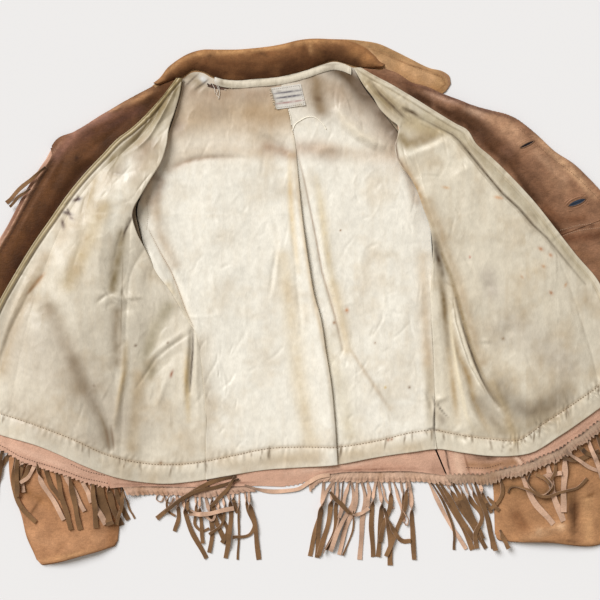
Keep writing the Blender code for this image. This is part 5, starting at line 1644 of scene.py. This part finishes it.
label_fray = []
for k in range(26):
    y = 297 - 28 * k / 25
    x = -40.5 + 7.5 * k / 25
    out, tilt = rng.uniform(1.5, 4.5), rng.uniform(-2, 2)
    label_fray.append(loose([(x + 1.5, y), (x - out * 0.5, y + tilt * 0.4), (x - out, y + tilt)], 0.7))
threads("label_frayed_threads", label_fray, 0.22, thread, "c9bda4")
label_edges = [[(-39, 296), (0, 301.7)], [(-32, 270.3), (6.6, 275.8)], [(-0.8, 301), (5.8, 276)]]
label_stitches = stitch_lines(label_edges, [label_piece], pitch=2.6)
threads("label_stitches", label_stitches, 0.25, thread, "8b8070")
long_thread = [(-11, 238), (-6, 248), (1, 253), (9, 257), (17, 258), (23, 256), (28, 252), (33, 247), (37, 240)]
short_thread = [(-16, 268), (-13, 256), (-12, 246)]
threads("loose_cream_thread", [loose(long_thread, 0.5), loose(short_thread, 0.4)], 0.6, thread, "fbf4e2")
torn_threads = [
    [(-128, 304), (-122, 301), (-116, 302), (-108, 299)], [(-124, 305), (-120, 297), (-119, 290)],
    [(-118, 304), (-115, 296), (-117, 288), (-113, 284)], [(-112, 303), (-110, 297), (-104, 295)],
    [(-108, 303), (-104, 299), (-100, 300), (-95, 297)], [(-131, 305), (-126, 299), (-121, 298)],
    [(-121, 303), (-117, 299), (-112, 300), (-106, 297), (-102, 297)], [(-115, 303), (-113, 290),
     (-115, 282)],
]
threads("torn_threads", [loose(table, 1.2) for table in torn_threads], 0.38, thread, "ddd6c8")

# ---------------------------------------------------------------- seams and stitches

# Tan thread: the hem's running stitches, the side and centre seams, the topstitched facing, and the rows of
# needle holes along the leather hem.

HEM_THREAD, SEAM_THREAD, HOLES = "6f5c44", "8f7a5c", "4f3224"
hem_line = [(x, y) for x, y in HEM_ROW if abs(x) < 430]
hem_stitches = stitch_lines([hem_line], lining_pieces, pitch=4.2, share=0.45)
threads("hem_stitches", hem_stitches, 0.5, thread, HEM_THREAD)
SEAM_ROWS = [
    [(-213, 99), (-195, 64), (-181, 39), (-169, 8), (-160, -17), (-150, -38)],
    [(-217, 144), (-214, 122), (-216, 98)],
    [(-17, 269), (-14, 255), (-11, 241), (-9, 231)],
]
seam_stitches = stitch_lines(SEAM_ROWS, lining_pieces, pitch=2.6, share=0.55)
threads("seam_stitches", seam_stitches, 0.25, thread, SEAM_THREAD)
FACING_ROW = [(306, 243), (330, 221), (357, 197), (384, 177), (405, 157), (424, 137), (446, 108), (474, 58),
              (495, -2), (509, -57)]
facing_stitches = stitch_lines([FACING_ROW], facings["right"], pitch=3.6)
threads("facing_topstitch", facing_stitches, 0.3, thread, "7d5a3c")
PIECING_ROWS = [[(366, 98), (390, 104.5), (424, 109)], [(371, 91), (392, 97.5), (426, 102)]]
piecing_stitches = stitch_lines(PIECING_ROWS, facings["right"], pitch=2.8)
threads("piecing_stitches", piecing_stitches, 0.3, thread, "b89d82")
HOLE_ROWS = {
    "left": [
        [(-270, -257), (-286, -253), (-300, -250), (-332, -238), (-358, -230), (-393, -219), (-420, -205),
         (-472, -186)],
        [(-274, -246), (-300, -239), (-322, -229)],
    ],
    "right": [[(234, -236), (262, -236), (284, -229)]],
}
holes = [spots for side, rows in HOLE_ROWS.items()
         for spots in stitch_lines(rows, [front_leather[side]], pitch=3.6, share=0.4, rise=0.2, sink=0.2)]
threads("leather_hem_stitches", holes, 0.5, thread, HOLES)

# ---------------------------------------------------------------- buttonholes and buttons

# Four slits in the right facing, each bound with close stitches and pulled open by use. The brown buttons that
# they take are under the left edge.

HOLE_LENGTH, HOLE_INSET = 18.0, 31.0
PATCH_SHARE, PATCH_WIDTH, PATCH_SINK = 1.7, 24.0, 0.6
STITCH_WIDTH, STITCH_RISE, STITCH_TINT = 0.8, 0.6, "5a4430"
SHADED_OPENING, BLUE_SHADED_OPENING = "15131a", "2b3645"
# Centre, the way it points, its length and half opening, the strain round it, and the colour painted in its
# opening: painted shade, blue-tinted in the second.
BUTTONHOLES = [((319, 218.5), (20, 10), 21, 1.5, 0.2, SHADED_OPENING),
               ((389, 137), (25, 10), 25, 3.0, 0.75, BLUE_SHADED_OPENING)]
for share in (0.74, 0.88):
    away = outwards("right", share)
    spot = FRONTS["right"]["edge_line"](share) - away * HOLE_INSET
    BUTTONHOLES.append((spot, away, HOLE_LENGTH, 1.3, 0.2, SHADED_OPENING))
for number, (centre, way, hole, opening, strain, through) in enumerate(BUTTONHOLES, 1):
    way = unit(np.array(way, float))
    side_way = np.array([-way[1], way[0]])
    patch_length, patch_width = hole * PATCH_SHARE, PATCH_WIDTH
    s = np.linspace(-0.5, 0.5, 81)[None, :, None] * patch_length
    n = np.linspace(0.5, -0.5, 71)[:, None, None] * patch_width
    flat = np.array(centre) + way * s + side_way * n
    s, n = s[..., 0], n[..., 0]
    lens = np.sqrt(np.clip(1 - (2 * s / hole) ** 2, 0, 1)) ** 1.4
    gap = np.hypot(np.maximum(np.abs(s) - hole / 2, 0), np.maximum(np.abs(n) - opening * lens, 0))
    inside = (np.abs(2 * s) < hole) & (np.abs(n) < opening * lens)
    bound = bell(gap - 0.9, STITCH_WIDTH)
    rib = 1 + 0.35 * np.sin(s * 5.2)
    rim = ramp((0.5 - np.abs(s) / patch_length) * 5) * ramp((0.5 - np.abs(n) / patch_width) * 5)
    rings = strain * np.cos(2 * np.pi * gap / 3.6) * np.exp(-gap / 5) * (1 + 0.5 * np.sign(n))
    lift = rim * (0.9 + rings) - PATCH_SINK + STITCH_RISE * bound * rib - np.where(inside, 0.2, 0)
    patch = np.dstack([flat, height_on(flat, *facings["right"]) + lift])
    shade = painted(patch, FACING_GROUND["right"], FACING_TONES_AND_PAINTED_LIGHT["right"])
    shade = shade + (linear(STITCH_TINT) - shade) * 0.8 * bound[..., None]
    # The opening is not cut: its colour is painted shade.
    shade = np.where(inside[..., None], linear(through), shade)
    shell(f"buttonhole_{number}", patch, facing_skin, shade)

BUTTON_WALL, BUTTON_INSET, HORN = 3.4, 19.0, "3a2414"
BUTTON_SHARES = [0.35, 0.52, 0.69, 0.86]
# From the middle of its underside round its rim to the middle of its top: radius and height.
BUTTON_PROFILE = np.array([(0.0, 0.4), (5.6, 0.4), (6.6, 0.0), (9.2, 0.3), (10.0, 1.2), (9.9, 2.2), (8.6, 3.2),
                           (5.0, 3.4), (0.0, 3.4)])
# Pressed horn: brown, with streaks that show through its polish.
horn = dyed("pressed_horn", [(4, (1, 0.3, 1), 0, "FBM", 0.3, 0)], Roughness=0.35)
turn = np.linspace(0, 2 * np.pi, 40, endpoint=False)
for number, share in enumerate(BUTTON_SHARES, 1):
    centre = FRONTS["left"]["edge_line"](share) - outwards("left", share) * BUTTON_INSET
    top = float(front_height("left", centre[None])[0]) - LAYER
    radius, level = BUTTON_PROFILE[:, :1] + 1e-3, BUTTON_PROFILE[:, 1:] + top - BUTTON_WALL
    x, y = centre[0] + radius * np.cos(turn), centre[1] + radius * np.sin(turn)
    ring = np.stack([x, y, level + 0 * turn], -1)
    shell(f"button_{number}_horn", ring, horn, linear(HORN), [f"button_{number}"], loop=True)

# ---------------------------------------------------------------- fringe

# Strips of the same skin, cut into strands about 6 mm wide below an uncut heading that is sewn to the hem. The
# strands twist, so the pale flesh side and the brown hair side take turns, and they lie where they fell.

STRIPS = {
    "fringe_strip_left": ("left", 0, 3, 14.0, "c6a48d"),
    "fringe_strip_back_left": ("back", 10, 12, 14.0, "c09e87"),
    "fringe_strip_back": ("back", 0, 7, 15.0, "c4a38b"),
    "fringe_strip_right": ("right", 0, 12, 15.0, "ab907a"),
}
STRIP_ROWS = 17
EVERY_FEW = np.s_[:: LEATHER_COLUMNS // 2]
HEADING_WAVES = [(1.4, 11, 61), (1, 4, 63)]
SCALLOP = 7.0
SCALLOP_DEPTH = 2.2
STRAND_STEP = 2.5
TWIST_LENGTH = 0.22
CELL = 2.0
MAP_WEST, MAP_SOUTH = -540.0, -385.0
MAP_SIZE = (540, 130)
FLESH_STRAND = "c8a48a"
HAIR_STRAND = "795a3c"
HEAD_TUCK = 2.4
HEAD_OVERLAP = 7.0
STRAND_ANGLE = 40
# How far a strand stays off what it lies on, sags between two bumps, and holds up the next one.
CLEAR, SAG, HEAPED = 0.1, 0.15, 0.8
hem_grids = {**front_grids, "back": back_grid}
strips = {}
for name, (panel, first, last, width, colour) in STRIPS.items():
    columns = slice(first * LEATHER_COLUMNS, last * LEATHER_COLUMNS + 1)
    above, edge = hem_grids[panel][-BAND_ROWS - 1, columns], hem_grids[panel][-1, columns]
    way = unit((edge - above) * LEVEL)
    travel = travelled(edge[:, :2])
    scallop = SCALLOP_DEPTH * np.abs(np.sin(np.pi * travel / SCALLOP)) ** 0.7
    down = np.linspace(0, 1, STRIP_ROWS)[:, None]
    reach = SEAM + down * (width - SCALLOP_DEPTH + scallop + waves(edge, HEADING_WAVES))[None]
    grid = edge[None] + way[None] * reach[..., None]
    gathers = 0.4 * np.sin(2 * np.pi * travel / SCALLOP * 1.7) + 0.9 * rumple(edge, 5, 62)
    grid[..., 2] += 0.5 + (gathers + 0.9)[None] * down * 0.9 + 0.5 * rumple(grid, 4, 64)
    hem, down_by = edge[EVERY_FEW, :2], way[EVERY_FEW, :2]
    # Painted shadow: a dark line where the heading meets the hem; a darker brown line lower down.
    marks = [("32211a", hem + down_by * 0.3, 1.5, 0.95), ("a27c66", hem + down_by * (width * 0.75), 2.0, 0.5)]
    colours = aged(painted(grid, colour, marks), grid, 1.3, 101)
    # Painted shade in the slits between the strands.
    slit_shade = np.cos(np.pi * travel / SCALLOP) ** 12
    shade = 1 - 0.45 * slit_shade[None] * ramp((down - 0.35) / 0.4)
    strips[name] = shell(name.replace("fringe_strip", "heading"), grid, flesh_side, colours * shade[..., None],
                         [name], wall=LEATHER, under=HAIR)

cells = np.stack(np.meshgrid(np.arange(MAP_SIZE[0]), np.arange(MAP_SIZE[1]), indexing="ij"), -1)
cell_spots = cells * CELL + np.array([MAP_WEST, MAP_SOUTH])


def sleeve_top(side):
    """Height of the top of a sleeve on the cells of the height map."""
    from_outer, from_inner, along = sleeve_depths(side, cell_spots)
    inside = (from_outer > 0) & (from_inner > 0)
    return np.where(inside, SLEEVE_FOLD + LEATHER + 0.8 + sleeve_crown(from_outer, from_inner, along), 0)


surface = np.maximum(sleeve_top("left"), sleeve_top("right"))
heaped = np.maximum(height_on(cell_spots, *front_leather.values(), back_leather, *strips.values()), surface)


def ground(heights, spots):
    """The highest cell of a height map round each spot."""
    x = np.clip(((spots[:, 0] - MAP_WEST) / CELL).round().astype(int), 1, MAP_SIZE[0] - 2)
    y = np.clip(((spots[:, 1] - MAP_SOUTH) / CELL).round().astype(int), 1, MAP_SIZE[1] - 2)
    around = [heights[x + i, y + j] for i in (-1, 0, 1) for j in (-1, 0, 1)]
    return np.max(around, axis=0), (x, y)


def strand(points, width, turns, on_top, rng):
    """One strand: rows of the four corners of its section, laid on whatever is there, and their shades."""
    points = np.array(points, float)
    if not on_top:
        points[0] += unit(points[0] - points[1]) * HEAD_OVERLAP
    line = smooth_line(points)
    count = max(int(line.length / STRAND_STEP), 5)
    share = np.linspace(0, 1, count)
    flat = line(share)
    way = unit(np.gradient(flat, axis=0))
    aside = np.column_stack([-way[:, 1], way[:, 0], np.zeros(count)])
    flat = flat + aside[:, :2] * (0.7 * np.sin(share * 9 + rng.uniform(0, 6)) * np.sin(np.pi * share))[:, None]
    twist_at = rng.uniform(0.04, 0.26)
    turn = math.pi * (turns[0] + (turns[1] - turns[0]) * ramp((share - twist_at) / TWIST_LENGTH))
    turn += 0.25 * np.sin(share * 5 + rng.uniform(0, 6))
    wide = width * (0.6 + 0.4 * ramp((share - 0.08) / 0.2))
    wide = wide * (1 + 0.08 * np.sin(share * 11 + rng.uniform(0, 6)))
    half_height = wide / 2 * np.abs(np.sin(turn)) + LEATHER / 2 * np.abs(np.cos(turn))
    base, at = ground(heaped if on_top else surface, flat)
    for _ in range(4):
        padded = np.concatenate([base[:1], base, base[-1:]])
        base = np.maximum(base, (padded[:-2] + padded[2:]) / 2 - SAG)
    base = np.maximum(base - HEAD_TUCK * (1 - ramp(share / 0.14)), 0) if not on_top else base
    middle = np.column_stack([flat, base + half_height + CLEAR])
    for heights in (surface, heaped):
        for i in (-1, 0, 1):
            for j in (-1, 0, 1):
                np.maximum.at(heights, (at[0] + i, at[1] + j), base + 2 * half_height * HEAPED)
    turn = turn[:, None]
    across = aside * np.cos(turn) + UPRIGHT * np.sin(turn)
    through = UPRIGHT * np.cos(turn) - aside * np.sin(turn)
    corners = [middle + across * wide[:, None] / 2 * i + through * LEATHER / 2 * j
               for i, j in ((1, 1), (-1, 1), (-1, -1), (1, -1))]
    tone = rng.uniform(0.86, 1.1)
    flesh, hair = linear(FLESH_STRAND) * tone, linear(HAIR_STRAND) * rng.uniform(0.75, 1.2)
    # Painted shadow darkens each strand's head under the heading; the sine gives a random tone along it.
    fade = ((0.5 + 0.5 * ramp(share / 0.22)) * (1 + 0.09 * np.sin(share * 14 + rng.uniform(0, 6))))[:, None]
    shades = [flesh * fade, flesh * fade, hair * fade, hair * fade]
    return np.stack(corners, 1), np.stack(shades, 1)


def fringe(name, table, on_top, seed):
    """A bunch of strands as one piece, each as (points, width, half turns at its top and at its end). One that
    lies on top of the others has no solid of its own."""
    rng = np.random.default_rng(seed)
    spots, shades, faces = [], [], []
    for points, width, turns in table:
        corners, tints = strand(points, width, turns, on_top, rng)
        faces += tube_faces(len(spots), len(corners), 4)
        spots.extend(corners.reshape(-1, 3))
        shades.extend(tints.reshape(-1, 3))
    return mesh_object(f"strands_{name}", np.array(spots), faces, strand_skin, np.array(shades),
                       [] if on_top else [f"fringe_{name}"], STRAND_ANGLE)


strand_skin = buckskin("smoked_buckskin_strands", 1.4, 0.3, 0.85, 0.25, 0.08)
# Half turns: 0 has the flesh side up, 1 the hair side, and 0.5 stands on its edge.
PALE, BROWN = (0.12, 0.0), (0.86, 1.0)
PALE_TO_BROWN, BROWN_TO_PALE, EDGE_ON = (0.1, 1.0), (0.9, 0.0), (0.6, 0.45)
LEFT_CUFF_STRANDS = [
    ([(-400, -226), (-402, -259), (-395, -287), (-371, -312)], 6.5, BROWN),
    ([(-393, -226), (-391, -248), (-388, -270)], 5, PALE),
    ([(-386, -226), (-392, -240), (-396, -262)], 6, PALE_TO_BROWN),
    ([(-378, -228), (-388, -250), (-399, -268)], 5.5, BROWN),
    ([(-372, -230), (-379, -246), (-392, -256)], 5, PALE),
    ([(-367, -228), (-362, -255), (-340, -290), (-331, -308)], 6.5, BROWN_TO_PALE),
    ([(-358, -233), (-350, -256), (-336, -278)], 6, BROWN),
    ([(-398, -222), (-396, -252), (-397, -276)], 6, BROWN),
    ([(-330, -244), (-316, -270), (-302, -296)], 6.5, PALE),
    ([(-341, -240), (-332, -280), (-321, -322)], 7, BROWN),
    ([(-322, -248), (-316, -284), (-308, -322)], 7, BROWN),
    ([(-306, -252), (-299, -266), (-293, -284)], 6, PALE),
    ([(-292, -262), (-286, -288), (-273, -315)], 7, PALE),
    ([(-290, -258), (-288, -288), (-286, -320)], 7, BROWN),
    ([(-282, -256), (-276, -286), (-266, -316)], 11, BROWN),
    ([(-270, -262), (-262, -292), (-252, -318)], 8, PALE_TO_BROWN),
    ([(-258, -268), (-252, -290), (-242, -310)], 6.5, BROWN),
    ([(-250, -270), (-252, -294), (-258, -316)], 5, BROWN),
    ([(-246, -276), (-241, -292), (-233, -308)], 2.6, BROWN),
]
LEFT_END_STRANDS = [
    ([(-410, -216), (-424, -240), (-438, -258)], 6, BROWN),
    ([(-418, -212), (-436, -240), (-452, -268)], 6, PALE_TO_BROWN),
    ([(-430, -206), (-440, -240), (-462, -276)], 6, BROWN),
    ([(-444, -202), (-452, -238), (-474, -270)], 6, PALE),
    ([(-456, -196), (-470, -230), (-486, -268)], 6, BROWN),
    ([(-468, -192), (-484, -226), (-500, -258)], 6, PALE_TO_BROWN),
    ([(-420, -212), (-424, -250), (-430, -284)], 5.5, BROWN),
    ([(-482, -188), (-492, -215), (-506, -240)], 5.5, BROWN),
]
LEFT_SIDE_STRANDS = [
    ([(-165, -276), (-162, -300), (-153, -324), (-132, -364)], 6.5, PALE_TO_BROWN),
    ([(-174, -278), (-171, -304), (-177, -326)], 5.5, PALE_TO_BROWN),
    ([(-200, -274), (-202, -281), (-196, -284), (-191, -276)], 2.2, EDGE_ON),
    ([(-191, -276), (-188, -284), (-182, -286), (-178, -278)], 2.2, EDGE_ON),
    ([(-184, -278), (-186, -298), (-176, -304)], 3, PALE_TO_BROWN),
    ([(-156, -276), (-158, -292), (-150, -302), (-140, -298)], 4, PALE_TO_BROWN),
    ([(-148, -277), (-146, -300), (-148, -318), (-138, -326), (-128, -322)], 4, PALE_TO_BROWN),
    ([(-141, -278), (-140, -310), (-137, -343)], 5, PALE_TO_BROWN),
]
LEFT_BACK_STRANDS = [
    ([(-133, -278), (-127, -305), (-123, -322), (-128, -356)], 6, PALE_TO_BROWN),
    ([(-126, -278), (-122, -296), (-110, -332), (-104, -343)], 6.5, PALE_TO_BROWN),
    ([(-118, -277), (-114, -300), (-102, -326), (-110, -342)], 5.5, PALE_TO_BROWN),
    ([(-110, -276), (-106, -296), (-112, -318), (-128, -330)], 4, PALE_TO_BROWN),
    ([(-101, -275), (-98, -294), (-99, -330), (-105, -364)], 6.5, PALE_TO_BROWN),
    ([(-94, -275), (-90, -296), (-88, -300)], 5, PALE_TO_BROWN),
    ([(-86, -275), (-86, -310), (-88, -366)], 3, PALE_TO_BROWN),
    ([(-77, -274), (-74, -296), (-64, -320), (-70, -330), (-95, -334)], 4.5, PALE_TO_BROWN),
    ([(-72, -273), (-70, -290), (-64, -318), (-58, -366)], 6.5, PALE_TO_BROWN),
    ([(-148, -298), (-134, -304), (-124, -310), (-118, -296)], 3.5, PALE),
]
LEFT_CROSSING_STRANDS = [
    ([(-90, -248), (-128, -258), (-164, -278), (-202, -308)], 6.2, BROWN),
    ([(-86, -252), (-118, -264), (-150, -270), (-190, -298)], 5, BROWN),
    ([(-92, -249), (-104, -268), (-126, -291)], 5, BROWN),
    ([(-158, -302), (-130, -300), (-93, -293)], 6, PALE),
]
BACK_STRANDS = [
    ([(33, -262), (31, -290), (22, -325), (14, -361)], 6.5, PALE_TO_BROWN),
    ([(43, -262), (31, -282), (27, -320), (24, -363)], 6.5, PALE_TO_BROWN),
    ([(47, -262), (43, -292), (38, -320), (26, -360)], 6.5, PALE_TO_BROWN),
    ([(53, -262), (51, -292), (49, -325), (37, -352)], 5.5, PALE_TO_BROWN),
    ([(60, -262), (56, -296), (50, -326), (33, -356)], 4, EDGE_ON),
    ([(68, -262), (60, -290), (55, -306)], 5, PALE),
    ([(73, -262), (76, -284), (60, -310), (43, -354)], 6, PALE),
    ([(80, -262), (76, -294), (66, -318), (55, -359)], 6, PALE),
    ([(75, -300), (73, -330), (60, -360)], 2.4, BROWN),
    ([(88, -262), (92, -282), (88, -312), (84, -366)], 6.5, PALE),
    ([(96, -262), (97, -276), (95, -291)], 5, PALE),
    ([(106, -262), (102, -282), (101, -312), (103, -362)], 6.5, PALE_TO_BROWN),
    ([(111, -262), (114, -282), (114, -312), (110, -362)], 6.5, PALE_TO_BROWN),
    ([(116, -262), (123, -284), (132, -294)], 3, PALE),
    ([(126, -263), (127, -294), (116, -322), (113, -341)], 6, PALE_TO_BROWN),
    ([(120, -300), (125, -318), (127, -374)], 7, BROWN),
    ([(134, -263), (141, -286), (147, -312)], 4, PALE),
    ([(143, -263), (146, -292), (136, -326), (121, -361)], 6, PALE_TO_BROWN),
    ([(150, -262), (149, -286), (143, -308)], 5, PALE_TO_BROWN),
    ([(154, -260), (157, -282), (158, -322), (161, -366)], 6.5, PALE_TO_BROWN),
    ([(129, -318), (136, -332), (147, -340), (156, -339)], 6, BROWN),
    ([(147, -300), (152, -310), (150, -318), (146, -312)], 2.6, EDGE_ON),
]
BACK_CROSSING_STRANDS = [
    ([(-78, -261), (-53, -268), (-22, -269), (0, -266), (14, -256), (26, -249), (42, -246)], 5.5, PALE),
    ([(42, -270), (56, -286), (70, -300)], 6, BROWN),
    ([(69, -299), (77, -303), (86, -300), (97, -293)], 5, BROWN_TO_PALE),
]
RIGHT_SIDE_STRANDS = [
    ([(183, -259), (198, -292), (213, -317), (234, -351)], 5.2, PALE),
    ([(188, -262), (202, -286), (216, -320), (217, -352)], 3.5, BROWN),
    ([(194, -262), (212, -290), (230, -320), (243, -352)], 7, BROWN),
    ([(200, -262), (222, -300), (245, -338)], 6.5, BROWN),
    ([(208, -262), (226, -292), (250, -328)], 6, PALE_TO_BROWN),
    ([(217, -262), (232, -292), (248, -326), (262, -350)], 6.5, BROWN),
    ([(224, -262), (236, -290), (246, -310), (258, -336)], 5, PALE_TO_BROWN),
    ([(233, -262), (242, -284), (256, -306), (247, -330), (249, -350)], 6, PALE_TO_BROWN),
    ([(240, -261), (250, -284), (264, -306), (272, -350)], 6, PALE_TO_BROWN),
    ([(247, -260), (258, -290), (268, -326), (275, -352)], 6.5, BROWN),
    ([(253, -259), (260, -280), (270, -300)], 5, PALE_TO_BROWN),
    ([(282, -254), (284, -268), (279, -284), (268, -294)], 5, BROWN),
    ([(268, -282), (276, -292), (280, -296)], 5, BROWN),
    ([(284, -330), (289, -342), (293, -349)], 6, BROWN),
]
RIGHT_CUFF_STRANDS = [
    ([(312, -247), (325, -277), (355, -314)], 8, PALE),
    ([(347, -230), (354, -268), (369, -310)], 8, PALE),
    ([(371, -220), (370, -256), (369, -297)], 8, PALE),
    ([(343, -247), (354, -244), (366, -242)], 6, PALE),
    ([(360, -224), (356, -240), (350, -252)], 4, PALE_TO_BROWN),
]
RIGHT_LOOP_STRANDS = [
    ([(322, -243), (319, -256), (329, -268), (346, -272), (353, -264), (346, -252), (330, -244)], 5, BROWN),
    ([(314, -248), (322, -262), (340, -272), (352, -258), (340, -244)], 4, EDGE_ON),
    ([(292, -271), (295, -264), (315, -264), (340, -274), (370, -268), (388, -264), (403, -250)], 3.8, BROWN),
    ([(366, -220), (380, -224), (396, -222), (420, -212)], 6, BROWN),
    ([(372, -212), (392, -226), (410, -236), (430, -244)], 5, PALE),
    ([(388, -204), (402, -214), (424, -222)], 6, BROWN),
]
RIGHT_END_STRANDS = [
    ([(404, -196), (414, -222), (424, -250)], 6, PALE),
    ([(416, -190), (430, -222), (440, -258)], 6, BROWN),
    ([(428, -182), (444, -216), (456, -252)], 6, PALE_TO_BROWN),
    ([(438, -176), (456, -206), (468, -246)], 6, BROWN),
    ([(450, -168), (468, -200), (484, -234)], 6, PALE),
    ([(460, -164), (480, -192), (498, -224)], 6, BROWN),
]
SLEEVE_SEAM_STRANDS = [
    ([(-362, 182), (-386, 162), (-414, 137)], 5.5, BROWN),
    ([(-384, 152), (-396, 143), (-408, 131)], 4, BROWN),
]
BUNCHES = {
    "left_cuff": LEFT_CUFF_STRANDS, "left_end": LEFT_END_STRANDS, "side_left": LEFT_SIDE_STRANDS,
    "back_left": LEFT_BACK_STRANDS, "crossing_left": LEFT_CROSSING_STRANDS, "back_right": BACK_STRANDS,
    "crossing_back": BACK_CROSSING_STRANDS, "side_right": RIGHT_SIDE_STRANDS, "right_cuff": RIGHT_CUFF_STRANDS,
    "right_loops": RIGHT_LOOP_STRANDS, "right_end": RIGHT_END_STRANDS, "sleeve_left": SLEEVE_SEAM_STRANDS,
}
ON_TOP = ("crossing_left", "crossing_back", "right_loops")
bunches = {name: fringe(name, table, name in ON_TOP, seed)
           for seed, (name, table) in enumerate(BUNCHES.items(), 2)}

# ---------------------------------------------------------------- table top, light and camera

# A pale table, one wide soft light from the upper left and the light of the room, seen from straight above.

TABLE, HALF_TABLE = "e6e6e6", 6.0
KEY_WAY, KEY_SPREAD, KEY_POWER, KEY_TINT = (-1.0, 1.0, 1.3), 34.0, 3.5, "fbfcff"
SKY, SKY_STRENGTH = "fff6ea", 0.36
EYE_HEIGHT = 2.0
FRAME_WIDTH = 0.84
FRAME_LEVEL = 0.015
SENSOR = 36.0

table_paint = bpy.data.materials.new("matt_table_paint")
table_paint.use_nodes = True
shader = table_paint.node_tree.nodes["Principled BSDF"]
shader.inputs["Base Color"].default_value = (*linear(TABLE), 1.0)
shader.inputs["Roughness"].default_value = 0.9
shader.inputs["Specular IOR Level"].default_value = 0.1
mesh = bpy.data.meshes.new("table_top")
mesh.from_pydata([(-HALF_TABLE, -HALF_TABLE, 0), (HALF_TABLE, -HALF_TABLE, 0), (HALF_TABLE, HALF_TABLE, 0),
                  (-HALF_TABLE, HALF_TABLE, 0)], [], [(0, 1, 2, 3)])
mesh.materials.append(table_paint)
placed("table_top", mesh)

window = bpy.data.lights.new("window", "SUN")
window.angle = math.radians(KEY_SPREAD)
window.energy = KEY_POWER
window.color = linear(KEY_TINT)
placed("window", window).rotation_euler = (-Vector(KEY_WAY)).to_track_quat("-Z", "Y").to_euler()

world = bpy.data.worlds.new("room")
world.use_nodes = True
world.node_tree.nodes["Background"].inputs["Color"].default_value = (*linear(SKY), 1.0)
world.node_tree.nodes["Background"].inputs["Strength"].default_value = SKY_STRENGTH
shown.world = world
shown.view_settings.view_transform = "Standard"

camera = bpy.data.cameras.new("overhead")
camera.sensor_width = SENSOR
camera.lens = SENSOR * (EYE_HEIGHT - FRAME_LEVEL) / FRAME_WIDTH
shown.camera = placed("overhead", camera)
shown.camera.location = (0, 0, EYE_HEIGHT)
